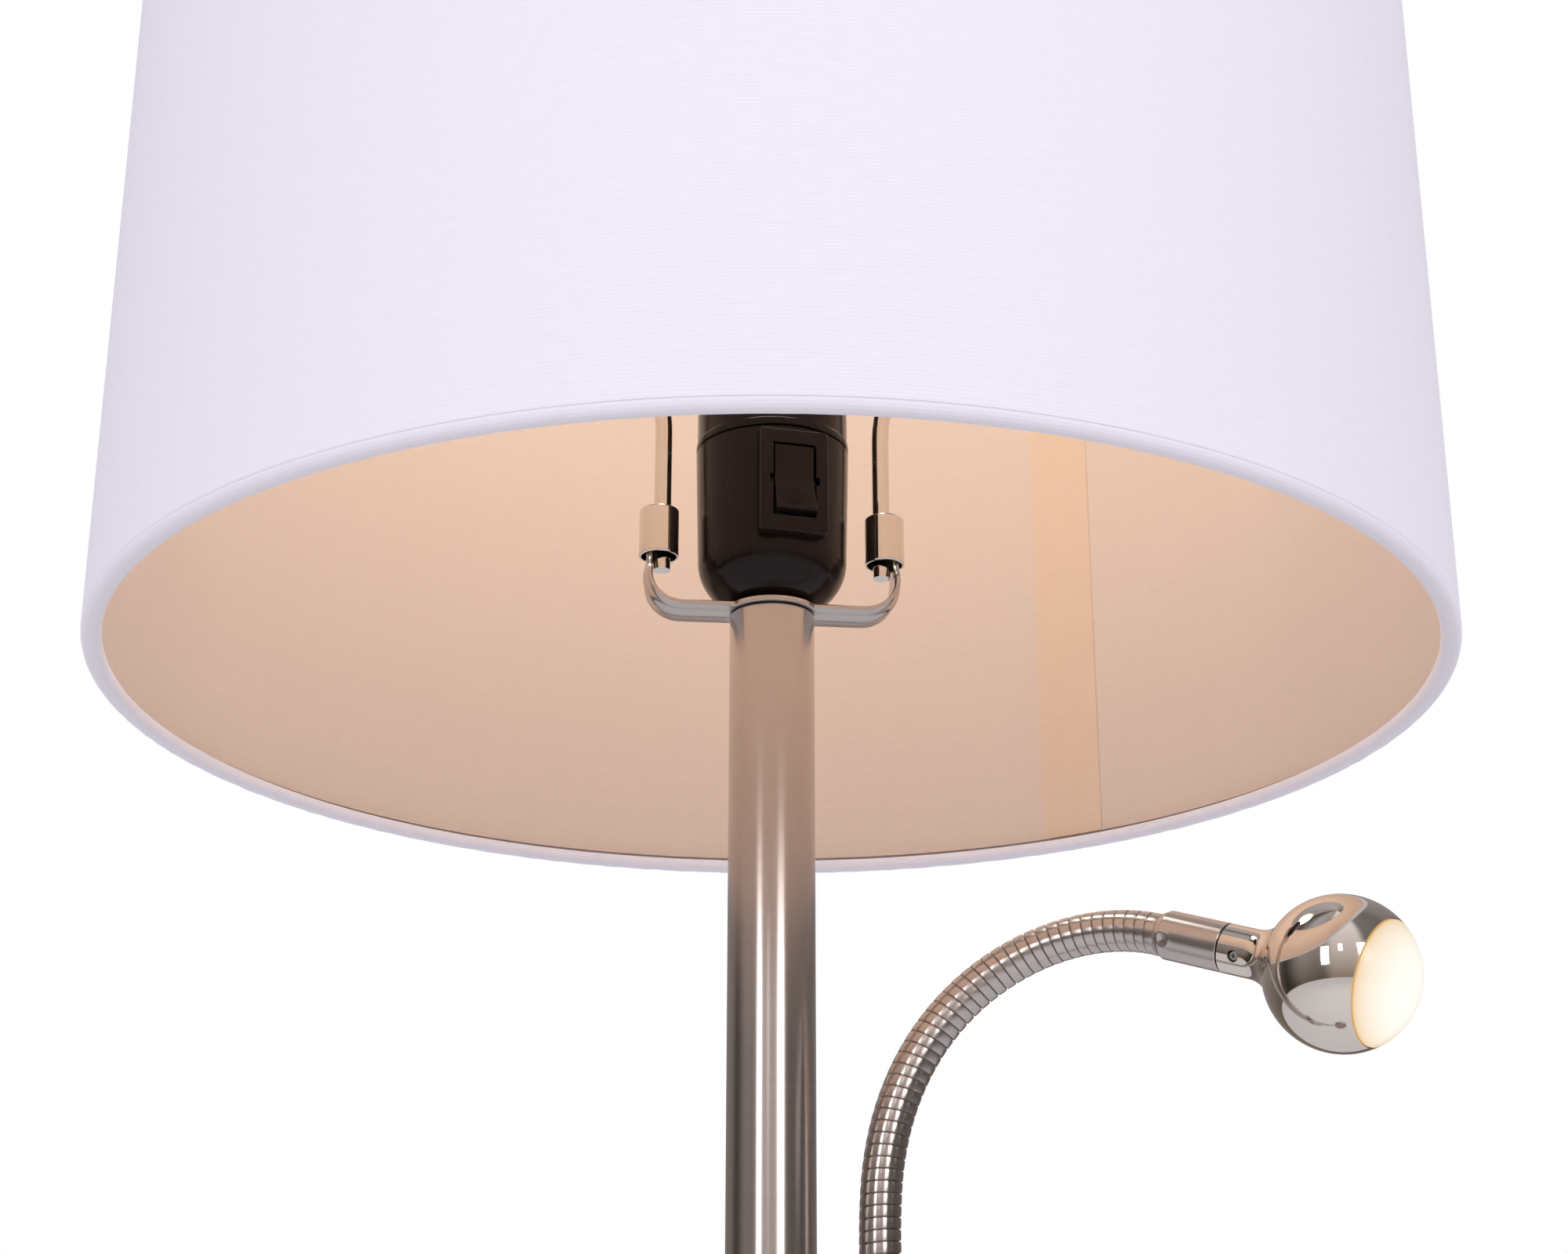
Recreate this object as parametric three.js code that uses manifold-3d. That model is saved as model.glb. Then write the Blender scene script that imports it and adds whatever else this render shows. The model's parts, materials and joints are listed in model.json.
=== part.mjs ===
// Pharmacy floor lamp: a weighted round base, a three-piece pole, a drum shade hung on a detachable
// harp over a rocker-switch socket, and a gooseneck reading light beside the pole.
// Millimetres, +Z up. The origin is the centre of the base's underside; the front of the lamp faces -Y.
import * as THREE from 'three';
import { mergeVertices } from 'three/addons/utils/BufferGeometryUtils.js';
import Module from 'manifold-3d';

const wasm = await Module();
wasm.setup();

// ---- Driving dimensions ------------------------------------------------------------------------

const GAP = 0.3; // clearance between neighbouring pieces
const ROUND = 16; // sides of a small turned piece
const WIDE_ROUND = 48; // sides of the shade's rings
const BASE_ROUND = 36; // sides of the base

// Base
const BASE_OD = 254;
const BASE_HEIGHT = 25;
const COVER_WALL = 1.2;
const COVER_CORNER = 8;
const COVER_CROWN = 4;
const COVER_LIFT = 0.8;
const PAD_THICKNESS = 2;
const PAD_INSET = 4;
const PAD_BORE = 64;
const WEIGHT_THICKNESS = 15;
const WEIGHT_CLEAR = 3;
const WEIGHT_BOSS_OD = 44;
const RECESS_OD = 60;
const RECESS_DEPTH = 9;
const CORD_CHANNEL_WIDTH = 11;
const WASHER_OD = 32;
const WASHER_THICKNESS = 2;
const NUT_ACROSS = 16;
const NUT_HEIGHT = 5;
const BUSHING_BODY_OD = 10;
const BUSHING_FLANGE_OD = 14;
const BUSHING_BORE = 6.4;
const BUSHING_HEIGHT = 10.5;
const BUSHING_FLANGE = 2;
const BUSHING_TAIL = 3.4;

// Threaded tubes
const NIPPLE_OD = 9.8;
const NIPPLE_BORE = 6.4;
const NIPPLE_PROUD = 0.5; // past the nut
const NIPPLE_SHORT = 2; // short of the plug's end

// Pole
const POLE_OD = 19.05;
const POLE_WALL = 1.2;
const POLE_TOP = 1290;
const POLE_SECTIONS = 3;
const COUPLING_OVERHANG = 1.1;
const COUPLING_HEIGHT = 8;
const STUD_REACH = 14;
const WIRE_BORE = 7.2;
const FOOT_OD = 42;
const FOOT_HEIGHT = 20;
const FOOT_FLANGE = 3;
const FOOT_NECK_WALL = 3;
const FOOT_FLOOR = 4;
const PLUG_LENGTH = 16;

// Saddle and harp
const SADDLE_THICKNESS = 1.3;
const SADDLE_WIDTH = 11.5;
const SADDLE_DISC_OVERHANG = 1.2;
const SADDLE_BEND = 8;
const TONGUE_WIDTH = 4.8;
const TONGUE_START = 8.5;
const TONGUE_TAPER = 5;
const TONGUE_TOP = 21;
const HARP_TURN = 6;
const HARP_WIRE_OD = 4;
const HARP_WIRE_START = 10.4;
const HARP_STRAIGHT = 34;
const HARP_BULB_CLEAR = 22;
const HARP_SHOULDER_EASE = 0.7; // how long the bow stays straight above its legs
const HARP_CROWN_EASE = 1.3; // how far its sides rise before they lean in
const HARP_LEG_INSET = 0.7; // the legs run this far inside the ferrules' axes
const FERRULE_OD = 9.2;
const FERRULE_WALL = 0.6;
const FERRULE_LENGTH = 11.4;
const FERRULE_HEIGHT = 13.6;
const SOCKET_CLEAR = 3.7;
const HARP_STUD_OD = 6.3;
const HARP_COLLAR_OD = 13;
const HARP_COLLAR_HEIGHT = 4;
const HARP_STUD_LENGTH = 20;
const FINIAL_OD = 17;
const FINIAL_HEIGHT = 24;
const FINIAL_BORE_DEPTH = 18.4;
const FINIAL_FOOT_OD = 13.6;
const FINIAL_FOOT_HEIGHT = 2;
const FINIAL_NECK_OD = 8.5;

// Socket
const SOCKET_OD = 35;
const SOCKET_DRAFT = 0.6;
const SOCKET_WALL = 2;
const SOCKET_CAP_HEIGHT = 37.9;
const SOCKET_CAP_FILLET = 11.2;
const SOCKET_SHELL_HEIGHT = 26;
const BEZEL_TURN = 15;
const BEZEL_WIDTH = 15.8;
const BEZEL_HEIGHT = 24.7;
const BEZEL_RISE = 2.4;
const BEZEL_BOTTOM = 11.3;
const ROCKER_WIDTH = 9.2;
const ROCKER_HEIGHT = 16.5;
const ROCKER_TILT = 8;
const ROCKER_CREST = 1.6;
const ROCKER_DEPTH = 4;
const ROCKER_SETBACK = 0.2;
const ROCKER_PIN_OD = 1.4;
const ROCKER_PIN_REACH = 0.5;
const ROCKER_SIDE_CLEAR = 0.35;
const CORE_OD = 22;
const CORE_HEIGHT = 32;
const SOCKET_NUT_ACROSS = 14;
const SOCKET_NUT_HEIGHT = 3.5;
const SOCKET_NUT_LIFT = 1.3; // clears the rounded floor of the cap
const BEZEL_SET = 0.5; // the bezel's block reaches this far into the cap's wall
const WINDOW_DEPTH = 12;
const SCREW_SHELL_WALL = 0.5;
const SCREW_SHELL_HEIGHT = 20;
const CONTACT_OD = 8;
const CONTACT_HEIGHT = 3;

// Bulb
const BULB_OD = 60;
const BULB_LENGTH = 110;
const BULB_CAP_OD = 26;
const BULB_CAP_LENGTH = 24;
const BULB_TIP_OD = 9;
const BULB_GLASS = 1.2;
const BULB_NECK_FLARE = 1.5;
const BULB_NECK_LENGTH = 10;
const BULB_TIP_RISE = 5;

// Shade
const SHADE_OD = 300;
const SHADE_HEIGHT = 229;
const SHADE_DROP = 19; // the bottom rim hangs this far below the pole's top
const SHADE_FABRIC = 0.7;
const SHADE_LINER = 0.7;
const HEM_OD = 4.4;
const HEM_WALL = 0.5;
const SHADE_RING_OD = 2.6;
const SPIDER_RECESS = 14;
const SPIDER_HUB_OD = 26;
const SPIDER_HUB_THICKNESS = 1.5;
const SPIDER_SPOKES = 3;
const SPIDER_SPOKE_OD = 2.6;
const SPIDER_SPOKE_SET = 0.2; // the spokes lie this far under the hub's top and the ring
const SPIDER_WELD = 3;
const SPIDER_RUN = 62; // the spokes lie level out to here, then rise to the ring
const SPIDER_LIFT = 0.9; // share of the rise that is done where a spoke nears the ring

// Reading arm
const ARM_SPACING = 13.1; // from the pole's skin to the arm's axis
const ARM_OD = 8.8;
const ARM_BORE = 4.4;
const ARM_SIDES = 12;
const ARM_BEND_DROP = 133.4; // from the pole's top to where the arm starts to bend
const ARM_ARC = 98.5;
const ARM_LINKS = 9;
const ARM_TURN = 109.6; // tilt of the arm's end from vertical
const ARM_EASE = 0.36; // share of the turn that tightens towards the head
const ARM_HEADING_START = 15.1;
const ARM_HEADING_END = -36.1;
const LINK_END_GAP = 0.6;
const LINK_END_WALL = 0.4;
const LINK_END_SLOPE = 15;
const HUB_DROP = 256; // from the pole's top to the hub's underside
const HUB_HEIGHT = 28;
const HUB_WALL = 4.5;
const HUB_BOSS_OD = 18;
const HUB_SCREW_OD = 4.4;
const ARM_FOOT_OD = 13.2;
const ARM_FOOT_HEIGHT = 12;
const ARM_FOOT_TAIL_OD = 10;
const ARM_FOOT_TAIL_DROP = 6;
const ARM_FOOT_FLOOR = 4;
const ARM_NUT_ACROSS = 12;
const ARM_NUT_HEIGHT = 4;
const HOUSING_DEPTH = 30;
const HOUSING_WALL = 1.4;
const SWITCH_TOP = 8;
const SWITCH_OD = 13;
const SWITCH_HEIGHT = 13;
const BUTTON_OD = 7;
const BUTTON_PROUD = 4;
const BUTTON_FLANGE_OD = 9.4;
const BUTTON_FLANGE = 1.5;
const BUTTON_PLUNGER_OD = 3;
const BUTTON_PLUNGER = 2.6;

// Reading head
const SLEEVE_WALL = 0.8;
const SLEEVE_LENGTH = 16.5;
const SLEEVE_CONE = 1.4;
const HEAD_OD = 31.9;
const HEAD_WALL = 1.2;
const HEAD_REACH = 26.4; // from the sleeve's end to the ball's centre
const HEAD_RIM = 0.572; // height of the lens rim, as a share of the ball's radius
const NECK_FILLET = 8;
const HEAD_FACING = new THREE.Vector3(-0.65, -0.69, -0.33); // side of the head that carries its screw
const HEAD_SCREW_OD = 1.9;
const HEAD_SCREW_LENGTH = 2.2;
const HEAD_SCREW_HEIGHT = 4;
const BOARD_OD = 22;
const BOARD_THICKNESS = 1.2;
const BOARD_HEIGHT = 4;
const SINK_OD = 20;
const SINK_HEIGHT = 9;

// ---- Finishes ----------------------------------------------------------------------------------

const FINISHES = {
  nickel: { color: 0xb3a596, roughness: 0.34, metalness: 1 },
  chrome: { color: 0xc9c4bd, roughness: 0.08, metalness: 1 },
  steel: { color: 0x9c9b98, roughness: 0.45, metalness: 1 },
  iron: { color: 0x3b3b3d, roughness: 0.8, metalness: 0.6 },
  brass: { color: 0xb08d57, roughness: 0.3, metalness: 1 },
  aluminium: { color: 0xb9bcbf, roughness: 0.5, metalness: 1 },
  phenolic: { color: 0x1c1715, roughness: 0.22, metalness: 0 },
  plastic: { color: 0xe6e2da, roughness: 0.5, metalness: 0 },
  rubber: { color: 0x1f1f20, roughness: 0.85, metalness: 0 },
  fabric: { color: 0xf1eef4, roughness: 0.9, metalness: 0 },
  liner: { color: 0xe7cbb8, roughness: 0.7, metalness: 0 },
  glass: { color: 0xf6f1e6, roughness: 0.35, metalness: 0 },
  lens: { color: 0xfff1cf, roughness: 0.3, metalness: 0 },
  board: { color: 0xf2f2ee, roughness: 0.6, metalness: 0 },
};

const lamp = new THREE.Group();

function add(parent, name, geometry, finish) {
  const mesh = new THREE.Mesh(geometry, new THREE.MeshStandardMaterial(FINISHES[finish]));
  mesh.name = name;
  parent.add(mesh);
  return mesh;
}

// ---- Shared shapes -----------------------------------------------------------------------------

const rad = THREE.MathUtils.degToRad;

// Keeps only positions, merges shared corners and drops the slivers that meet on an axis.
function welded(source) {
  const bare = source.clone();
  bare.deleteAttribute('normal');
  bare.deleteAttribute('uv');
  const merged = mergeVertices(bare, 1e-4);
  const index = merged.index.array;
  const kept = [];
  for (let i = 0; i < index.length; i += 3) {
    const [a, b, c] = [index[i], index[i + 1], index[i + 2]];
    if (a !== b && b !== c && c !== a) kept.push(a, b, c);
  }
  merged.setIndex(kept);
  merged.computeVertexNormals();
  return merged;
}

function solid(geometry) {
  const clean = welded(geometry);
  return new wasm.Manifold(
    new wasm.Mesh({
      numProp: 3,
      vertProperties: new Float32Array(clean.attributes.position.array),
      triVerts: new Uint32Array(clean.index.array),
    }),
  );
}

function geometryOf(manifold) {
  const mesh = manifold.getMesh();
  const geometry = new THREE.BufferGeometry();
  geometry.setAttribute('position', new THREE.BufferAttribute(mesh.vertProperties, 3));
  geometry.setIndex(new THREE.BufferAttribute(mesh.triVerts, 1));
  geometry.computeVertexNormals();
  return geometry;
}

// Turns a closed outline of [radius, height] points, drawn anticlockwise, about Z.
function turned(outline, sides = ROUND) {
  const points = outline.map(([r, z]) => new THREE.Vector2(r, z));
  const [first, last] = [points[0], points.at(-1)];
  if (first.x > 0 || last.x > 0) points.push(first.clone());
  return welded(new THREE.LatheGeometry(points, sides).rotateX(Math.PI / 2));
}

function ring(outer, inner, low, high, sides = ROUND) {
  return turned([[inner, low], [outer, low], [outer, high], [inner, high]], sides);
}

function rod(radius, low, high, sides = ROUND) {
  return turned([[0, low], [radius, low], [radius, high], [0, high]], sides);
}

function block(width, depth, height, x, y, z) {
  return new THREE.BoxGeometry(width, depth, height).translate(x, y, z);
}

// Points of an arc about (r, z), from one angle to another in degrees, both ends included.
function arc(r, z, radius, from, to, steps) {
  const points = [];
  for (let i = 0; i <= steps; i += 1) {
    const a = rad(from + ((to - from) * i) / steps);
    points.push([r + radius * Math.cos(a), z + radius * Math.sin(a)]);
  }
  return points;
}

function hexNut(across, bore, low, high) {
  const nut = solid(rod(across / Math.sqrt(3), low, high, 6));
  return geometryOf(nut.subtract(solid(rod(bore, low - 1, high + 1, 16))));
}

// Lays a piece turned about Z along +Y instead.
function layBack(geometry) {
  return geometry.rotateX(-Math.PI / 2);
}

// ---- Derived places ----------------------------------------------------------------------------

const poleRadius = POLE_OD / 2;
const poleInner = poleRadius - POLE_WALL;
const plugRadius = poleInner - GAP;
const nippleHole = NIPPLE_OD / 2 + GAP;
const footBottom = BASE_HEIGHT + GAP;
const poleBottom = footBottom + FOOT_FLOOR + GAP;
const saddleBottom = POLE_TOP + GAP;
const saddleTop = saddleBottom + SADDLE_THICKNESS;
const socketBottom = saddleTop + GAP;
const socketSeam = socketBottom + SOCKET_CAP_HEIGHT;
const shadeRim = POLE_TOP - SHADE_DROP;
const shadeTop = shadeRim + SHADE_HEIGHT;
const hemCentre = SHADE_OD / 2 - HEM_OD / 2;
const armX = poleRadius + ARM_SPACING;
const hubBottom = POLE_TOP - HUB_DROP;
const hubTop = hubBottom + HUB_HEIGHT;
const armBendStart = POLE_TOP - ARM_BEND_DROP;
const armHole = ARM_OD / 2 + GAP;

// ---- Base --------------------------------------------------------------------------------------

// Half of the cover's section, inset from its outer skin.
function coverSkin(inset) {
  const shoulder = BASE_OD / 2 - COVER_CORNER;
  const corner = COVER_CORNER - inset;
  const bend = arc(shoulder, BASE_HEIGHT - COVER_CROWN - COVER_CORNER, corner, 0, 90, 3);
  return [[BASE_OD / 2 - inset, COVER_LIFT], ...bend, [nippleHole, BASE_HEIGHT - inset]];
}

// Height of the cover's underside at a radius on its crown.
function coverUnder(radius) {
  const run = BASE_OD / 2 - COVER_CORNER - nippleHole;
  return BASE_HEIGHT - COVER_WALL - (COVER_CROWN * (radius - nippleHole)) / run;
}

function baseCover() {
  const shell = solid(turned([...coverSkin(0), ...coverSkin(COVER_WALL).reverse()], BASE_ROUND));
  const hole = layBack(rod(BUSHING_BODY_OD / 2 + GAP, BASE_OD / 2 - 10, BASE_OD / 2 + 10));
  return geometryOf(shell.subtract(solid(hole.translate(0, 0, BUSHING_HEIGHT))));
}

function baseWeight() {
  const low = PAD_THICKNESS + GAP;
  const high = low + WEIGHT_THICKNESS;
  const edge = BASE_OD / 2 - COVER_WALL - WEIGHT_CLEAR;
  const boss = WEIGHT_BOSS_OD / 2;
  const outline = [
    [nippleHole, low + RECESS_DEPTH],
    [RECESS_OD / 2, low + RECESS_DEPTH],
    [RECESS_OD / 2, low],
    [edge, low],
    [edge, high],
    [boss, high],
    [boss, coverUnder(boss) - GAP],
    [nippleHole, coverUnder(boss) - GAP],
  ];
  const channelTop = BUSHING_HEIGHT + CORD_CHANNEL_WIDTH / 2;
  const channel = block(CORD_CHANNEL_WIDTH, edge, channelTop, 0, edge / 2 + RECESS_OD / 4, 0);
  channel.translate(0, 0, channelTop / 2);
  return geometryOf(solid(turned(outline, BASE_ROUND)).subtract(solid(channel)));
}

function cordBushing() {
  const wall = BASE_OD / 2;
  const body = BUSHING_BODY_OD / 2;
  const bore = BUSHING_BORE / 2;
  const outline = [
    [bore, wall - BUSHING_TAIL],
    [body, wall - BUSHING_TAIL],
    [body, wall + GAP],
    [BUSHING_FLANGE_OD / 2, wall + GAP],
    [BUSHING_FLANGE_OD / 2 - 1, wall + GAP + BUSHING_FLANGE],
    [bore, wall + GAP + BUSHING_FLANGE],
  ];
  return layBack(turned(outline)).translate(0, 0, BUSHING_HEIGHT);
}

function poleFoot() {
  const top = footBottom + FOOT_HEIGHT;
  const neck = poleRadius + GAP + FOOT_NECK_WALL;
  const flare = FOOT_OD / 2 - neck;
  const flareTop = footBottom + FOOT_FLANGE + flare;
  return turned([
    [nippleHole, footBottom],
    [FOOT_OD / 2, footBottom],
    ...arc(neck + flare, flareTop, flare, 270, 180, 5),
    [neck, Math.max(top, flareTop + 1)],
    [poleRadius + GAP, Math.max(top, flareTop + 1)],
    [poleRadius + GAP, footBottom + FOOT_FLOOR],
    [nippleHole, footBottom + FOOT_FLOOR],
  ]);
}

function buildBase() {
  const base = new THREE.Group();
  const padRadius = BASE_OD / 2 - PAD_INSET;
  const washerTop = PAD_THICKNESS + GAP + RECESS_DEPTH - GAP;
  const washerBottom = washerTop - WASHER_THICKNESS;
  const nutTop = washerBottom - GAP;
  const nippleBottom = nutTop - NUT_HEIGHT - NIPPLE_PROUD;
  const nippleTop = poleBottom + PLUG_LENGTH - NIPPLE_SHORT;
  add(base, 'base_pad', ring(padRadius, PAD_BORE / 2, 0, PAD_THICKNESS, BASE_ROUND), 'rubber');
  add(base, 'base_weight', baseWeight(), 'iron');
  add(base, 'base_cover', baseCover(), 'nickel');
  add(base, 'base_washer', ring(WASHER_OD / 2, nippleHole, washerBottom, washerTop), 'steel');
  add(base, 'base_nut', hexNut(NUT_ACROSS, nippleHole, nutTop - NUT_HEIGHT, nutTop), 'steel');
  add(base, 'stem_nipple', ring(NIPPLE_OD / 2, NIPPLE_BORE / 2, nippleBottom, nippleTop, 16), 'steel');
  add(base, 'cord_bushing', cordBushing(), 'rubber');
  add(base, 'pole_foot', poleFoot(), 'nickel');
  return base;
}

// ---- Pole --------------------------------------------------------------------------------------

// A coupling: an outer ring between two tubes, with a stud reaching into each.
function coupling(low) {
  const high = low + COUPLING_HEIGHT;
  const outer = poleRadius + COUPLING_OVERHANG;
  return turned([
    [WIRE_BORE / 2, low - STUD_REACH],
    [plugRadius, low - STUD_REACH],
    [plugRadius, low],
    [outer, low],
    [outer, high],
    [plugRadius, high],
    [plugRadius, high + STUD_REACH],
    [WIRE_BORE / 2, high + STUD_REACH],
  ]);
}

function buildPole() {
  const pole = new THREE.Group();
  const joints = POLE_SECTIONS - 1;
  const tubes = POLE_TOP - poleBottom - joints * (COUPLING_HEIGHT + 2 * GAP);
  const tubeLength = tubes / POLE_SECTIONS;
  let low = poleBottom;
  for (let i = 1; i <= POLE_SECTIONS; i += 1) {
    add(pole, `pole_tube_${i}`, ring(poleRadius, poleInner, low, low + tubeLength), 'nickel');
    low += tubeLength + GAP;
    if (i <= joints) add(pole, `pole_coupling_${i}`, coupling(low), 'nickel');
    low += COUPLING_HEIGHT + GAP;
  }
  const footPlug = ring(plugRadius, nippleHole, poleBottom, poleBottom + PLUG_LENGTH);
  const topPlug = ring(plugRadius, nippleHole, POLE_TOP - PLUG_LENGTH, POLE_TOP);
  add(pole, 'pole_foot_plug', footPlug, 'steel');
  add(pole, 'pole_top_plug', topPlug, 'steel');
  return pole;
}

// ---- Saddle, harp and finial -------------------------------------------------------------------

const ferruleX = SOCKET_OD / 2 + SOCKET_CLEAR + FERRULE_OD / 2;
const legX = ferruleX - HARP_LEG_INSET;
const tongueInner = legX + HARP_WIRE_OD / 2 + GAP;
const tongueOuter = tongueInner + SADDLE_THICKNESS;
const hubSeat = shadeTop - SPIDER_RECESS;
const harpTop = hubSeat - HARP_COLLAR_HEIGHT - GAP; // centre of the wire at the harp's crown
const collarTop = hubSeat - GAP;

// Half of the saddle's bent strip, inset from its outer side, from the middle to a tongue's top.
function saddleSide(inset) {
  const bendX = tongueOuter - SADDLE_BEND;
  const bend = arc(bendX, saddleBottom + SADDLE_BEND, SADDLE_BEND - inset, 270, 360, 6);
  return [...bend, [tongueOuter - inset, POLE_TOP + TONGUE_TOP]];
}

function saddle() {
  const outline = new THREE.Shape();
  const right = [...saddleSide(0), ...saddleSide(SADDLE_THICKNESS).reverse()];
  const left = right.map(([x, z]) => [-x, z]).reverse();
  [...right, ...left].forEach(([x, z], i) => (i ? outline.lineTo(x, z) : outline.moveTo(x, z)));
  const strip = new THREE.ExtrudeGeometry(outline, { depth: SADDLE_WIDTH, bevelEnabled: false });
  strip.rotateX(Math.PI / 2).translate(0, SADDLE_WIDTH / 2, 0);
  const front = new THREE.Shape();
  const [wide, narrow] = [SADDLE_WIDTH / 2 + 0.5, TONGUE_WIDTH / 2];
  const shoulder = POLE_TOP + TONGUE_START;
  front.moveTo(-wide, POLE_TOP - 5);
  front.lineTo(wide, POLE_TOP - 5);
  front.lineTo(wide, shoulder);
  front.lineTo(narrow, shoulder + TONGUE_TAPER);
  front.lineTo(narrow, POLE_TOP + TONGUE_TOP + 5);
  front.lineTo(-narrow, POLE_TOP + TONGUE_TOP + 5);
  front.lineTo(-narrow, shoulder + TONGUE_TAPER);
  front.lineTo(-wide, shoulder);
  const span = 2 * tongueOuter + 10;
  const mask = new THREE.ExtrudeGeometry(front, { depth: span, bevelEnabled: false });
  mask.rotateX(Math.PI / 2).translate(0, span / 2, 0).rotateZ(Math.PI / 2);
  const disc = rod(poleRadius + SADDLE_DISC_OVERHANG, saddleBottom, saddleTop);
  const hole = rod(nippleHole, saddleBottom - 1, saddleTop + 1);
  return geometryOf(solid(strip).intersect(solid(mask)).add(solid(disc)).subtract(solid(hole)));
}

// The harp's wire from one lower end to the other: straight legs, a swell round the bulb and a crown.
function harpPath() {
  const start = POLE_TOP + HARP_WIRE_START;
  const straight = start + HARP_STRAIGHT;
  const bulge = BULB_OD / 2 + HARP_BULB_CLEAR;
  const middle = (straight + harpTop) / 2;
  const rise = (middle - straight) / 2;
  const half = [
    [[legX, start], [legX, straight]],
    [[legX, straight], [legX, straight + HARP_SHOULDER_EASE * rise], [bulge, middle - rise], [bulge, middle]],
    [[bulge, middle], [bulge, middle + HARP_CROWN_EASE * rise], [bulge / 2, harpTop], [0, harpTop]],
  ];
  const left = half.map((points) => points.map(([x, z]) => new THREE.Vector3(-x, 0, z)));
  const right = half.map((points) => points.map(([x, z]) => new THREE.Vector3(x, 0, z)).reverse());
  const path = new THREE.CurvePath();
  for (const points of [...left, ...right.reverse()]) {
    path.add(points.length > 2 ? new THREE.CubicBezierCurve3(...points) : new THREE.LineCurve3(...points));
  }
  return path;
}

function circleShape(radius, sides) {
  const shape = new THREE.Shape();
  for (let i = 0; i < sides; i += 1) {
    const a = (2 * Math.PI * i) / sides;
    const [x, y] = [radius * Math.cos(a), radius * Math.sin(a)];
    if (i) shape.lineTo(x, y);
    else shape.moveTo(x, y);
  }
  return shape;
}

function swept(curve, radius, sides, steps) {
  const options = { steps, extrudePath: curve, bevelEnabled: false };
  return welded(new THREE.ExtrudeGeometry(circleShape(radius, sides), options));
}

function harpBow() {
  return swept(harpPath(), HARP_WIRE_OD / 2, 8, 36);
}

// The crown piece: a collar that straddles the wire, with the threaded stud above it.
function harpStud() {
  const collar = HARP_COLLAR_OD / 2;
  const body = solid(
    turned([
      [0, harpTop - 1],
      [collar - 2, harpTop - 1],
      [collar, harpTop + 1],
      [collar, collarTop],
      [HARP_STUD_OD / 2, collarTop],
      [HARP_STUD_OD / 2, collarTop + HARP_STUD_LENGTH],
      [0, collarTop + HARP_STUD_LENGTH],
    ]),
  );
  const groove = rod(HARP_WIRE_OD / 2 + GAP, -20, 20, 16).rotateY(Math.PI / 2);
  const slot = block(40, HARP_WIRE_OD + 2 * GAP, 10, 0, 0, -5);
  const cut = solid(groove).add(solid(slot)).translate([0, 0, harpTop]);
  return geometryOf(body.subtract(cut));
}

function finial() {
  const low = hubSeat + SPIDER_HUB_THICKNESS + GAP;
  const ball = FINIAL_OD / 2;
  const bore = HARP_STUD_OD / 2 + GAP;
  const centre = low + FINIAL_HEIGHT - ball;
  return turned([
    [bore, low],
    [FINIAL_FOOT_OD / 2, low],
    [FINIAL_FOOT_OD / 2, low + FINIAL_FOOT_HEIGHT],
    [FINIAL_NECK_OD / 2, low + 2 * FINIAL_FOOT_HEIGHT],
    ...arc(0, centre, ball, -55, 75, 6),
    [0, low + FINIAL_HEIGHT],
    [0, low + FINIAL_BORE_DEPTH],
    [bore, low + FINIAL_BORE_DEPTH],
  ]);
}

function buildHarp() {
  const harp = new THREE.Group();
  harp.rotation.z = rad(HARP_TURN);
  add(harp, 'saddle', saddle(), 'nickel');
  add(harp, 'harp_bow', harpBow(), 'chrome');
  add(harp, 'harp_stud', harpStud(), 'brass');
  const low = POLE_TOP + FERRULE_HEIGHT;
  const bore = FERRULE_OD / 2 - FERRULE_WALL;
  for (const [name, side] of [['ferrule_left', -1], ['ferrule_right', 1]]) {
    const sleeve = ring(FERRULE_OD / 2, bore, low, low + FERRULE_LENGTH);
    add(harp, name, sleeve, 'chrome').position.x = side * ferruleX;
  }
  return harp;
}

// ---- Socket and bulb ---------------------------------------------------------------------------

const socketRadius = SOCKET_OD / 2;
const bezelFace = socketRadius + BEZEL_RISE;
const bezelMiddle = socketBottom + BEZEL_BOTTOM + BEZEL_HEIGHT / 2;
const rockerPivot = bezelFace - ROCKER_SETBACK - ROCKER_CREST;
const socketNutBottom = socketBottom + SOCKET_WALL + SOCKET_NUT_LIFT;
const socketNutTop = socketNutBottom + SOCKET_NUT_HEIGHT;
const coreBottom = socketNutTop + GAP;
const coreTop = coreBottom + CORE_HEIGHT;
const screwShellInner = BULB_CAP_OD / 2 + GAP;
const bulbTip = coreTop + GAP + CONTACT_HEIGHT + GAP;

// Half of the cap's section, inset from its outer skin: a rounded bottom under drafted sides.
function capSkin(inset) {
  const foot = socketRadius - SOCKET_DRAFT - SOCKET_CAP_FILLET;
  const centre = socketBottom + SOCKET_CAP_FILLET;
  const bend = arc(foot, centre, SOCKET_CAP_FILLET - inset, 270, 360, 4);
  return [[nippleHole, socketBottom + inset], ...bend, [socketRadius - inset, socketSeam]];
}

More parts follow.
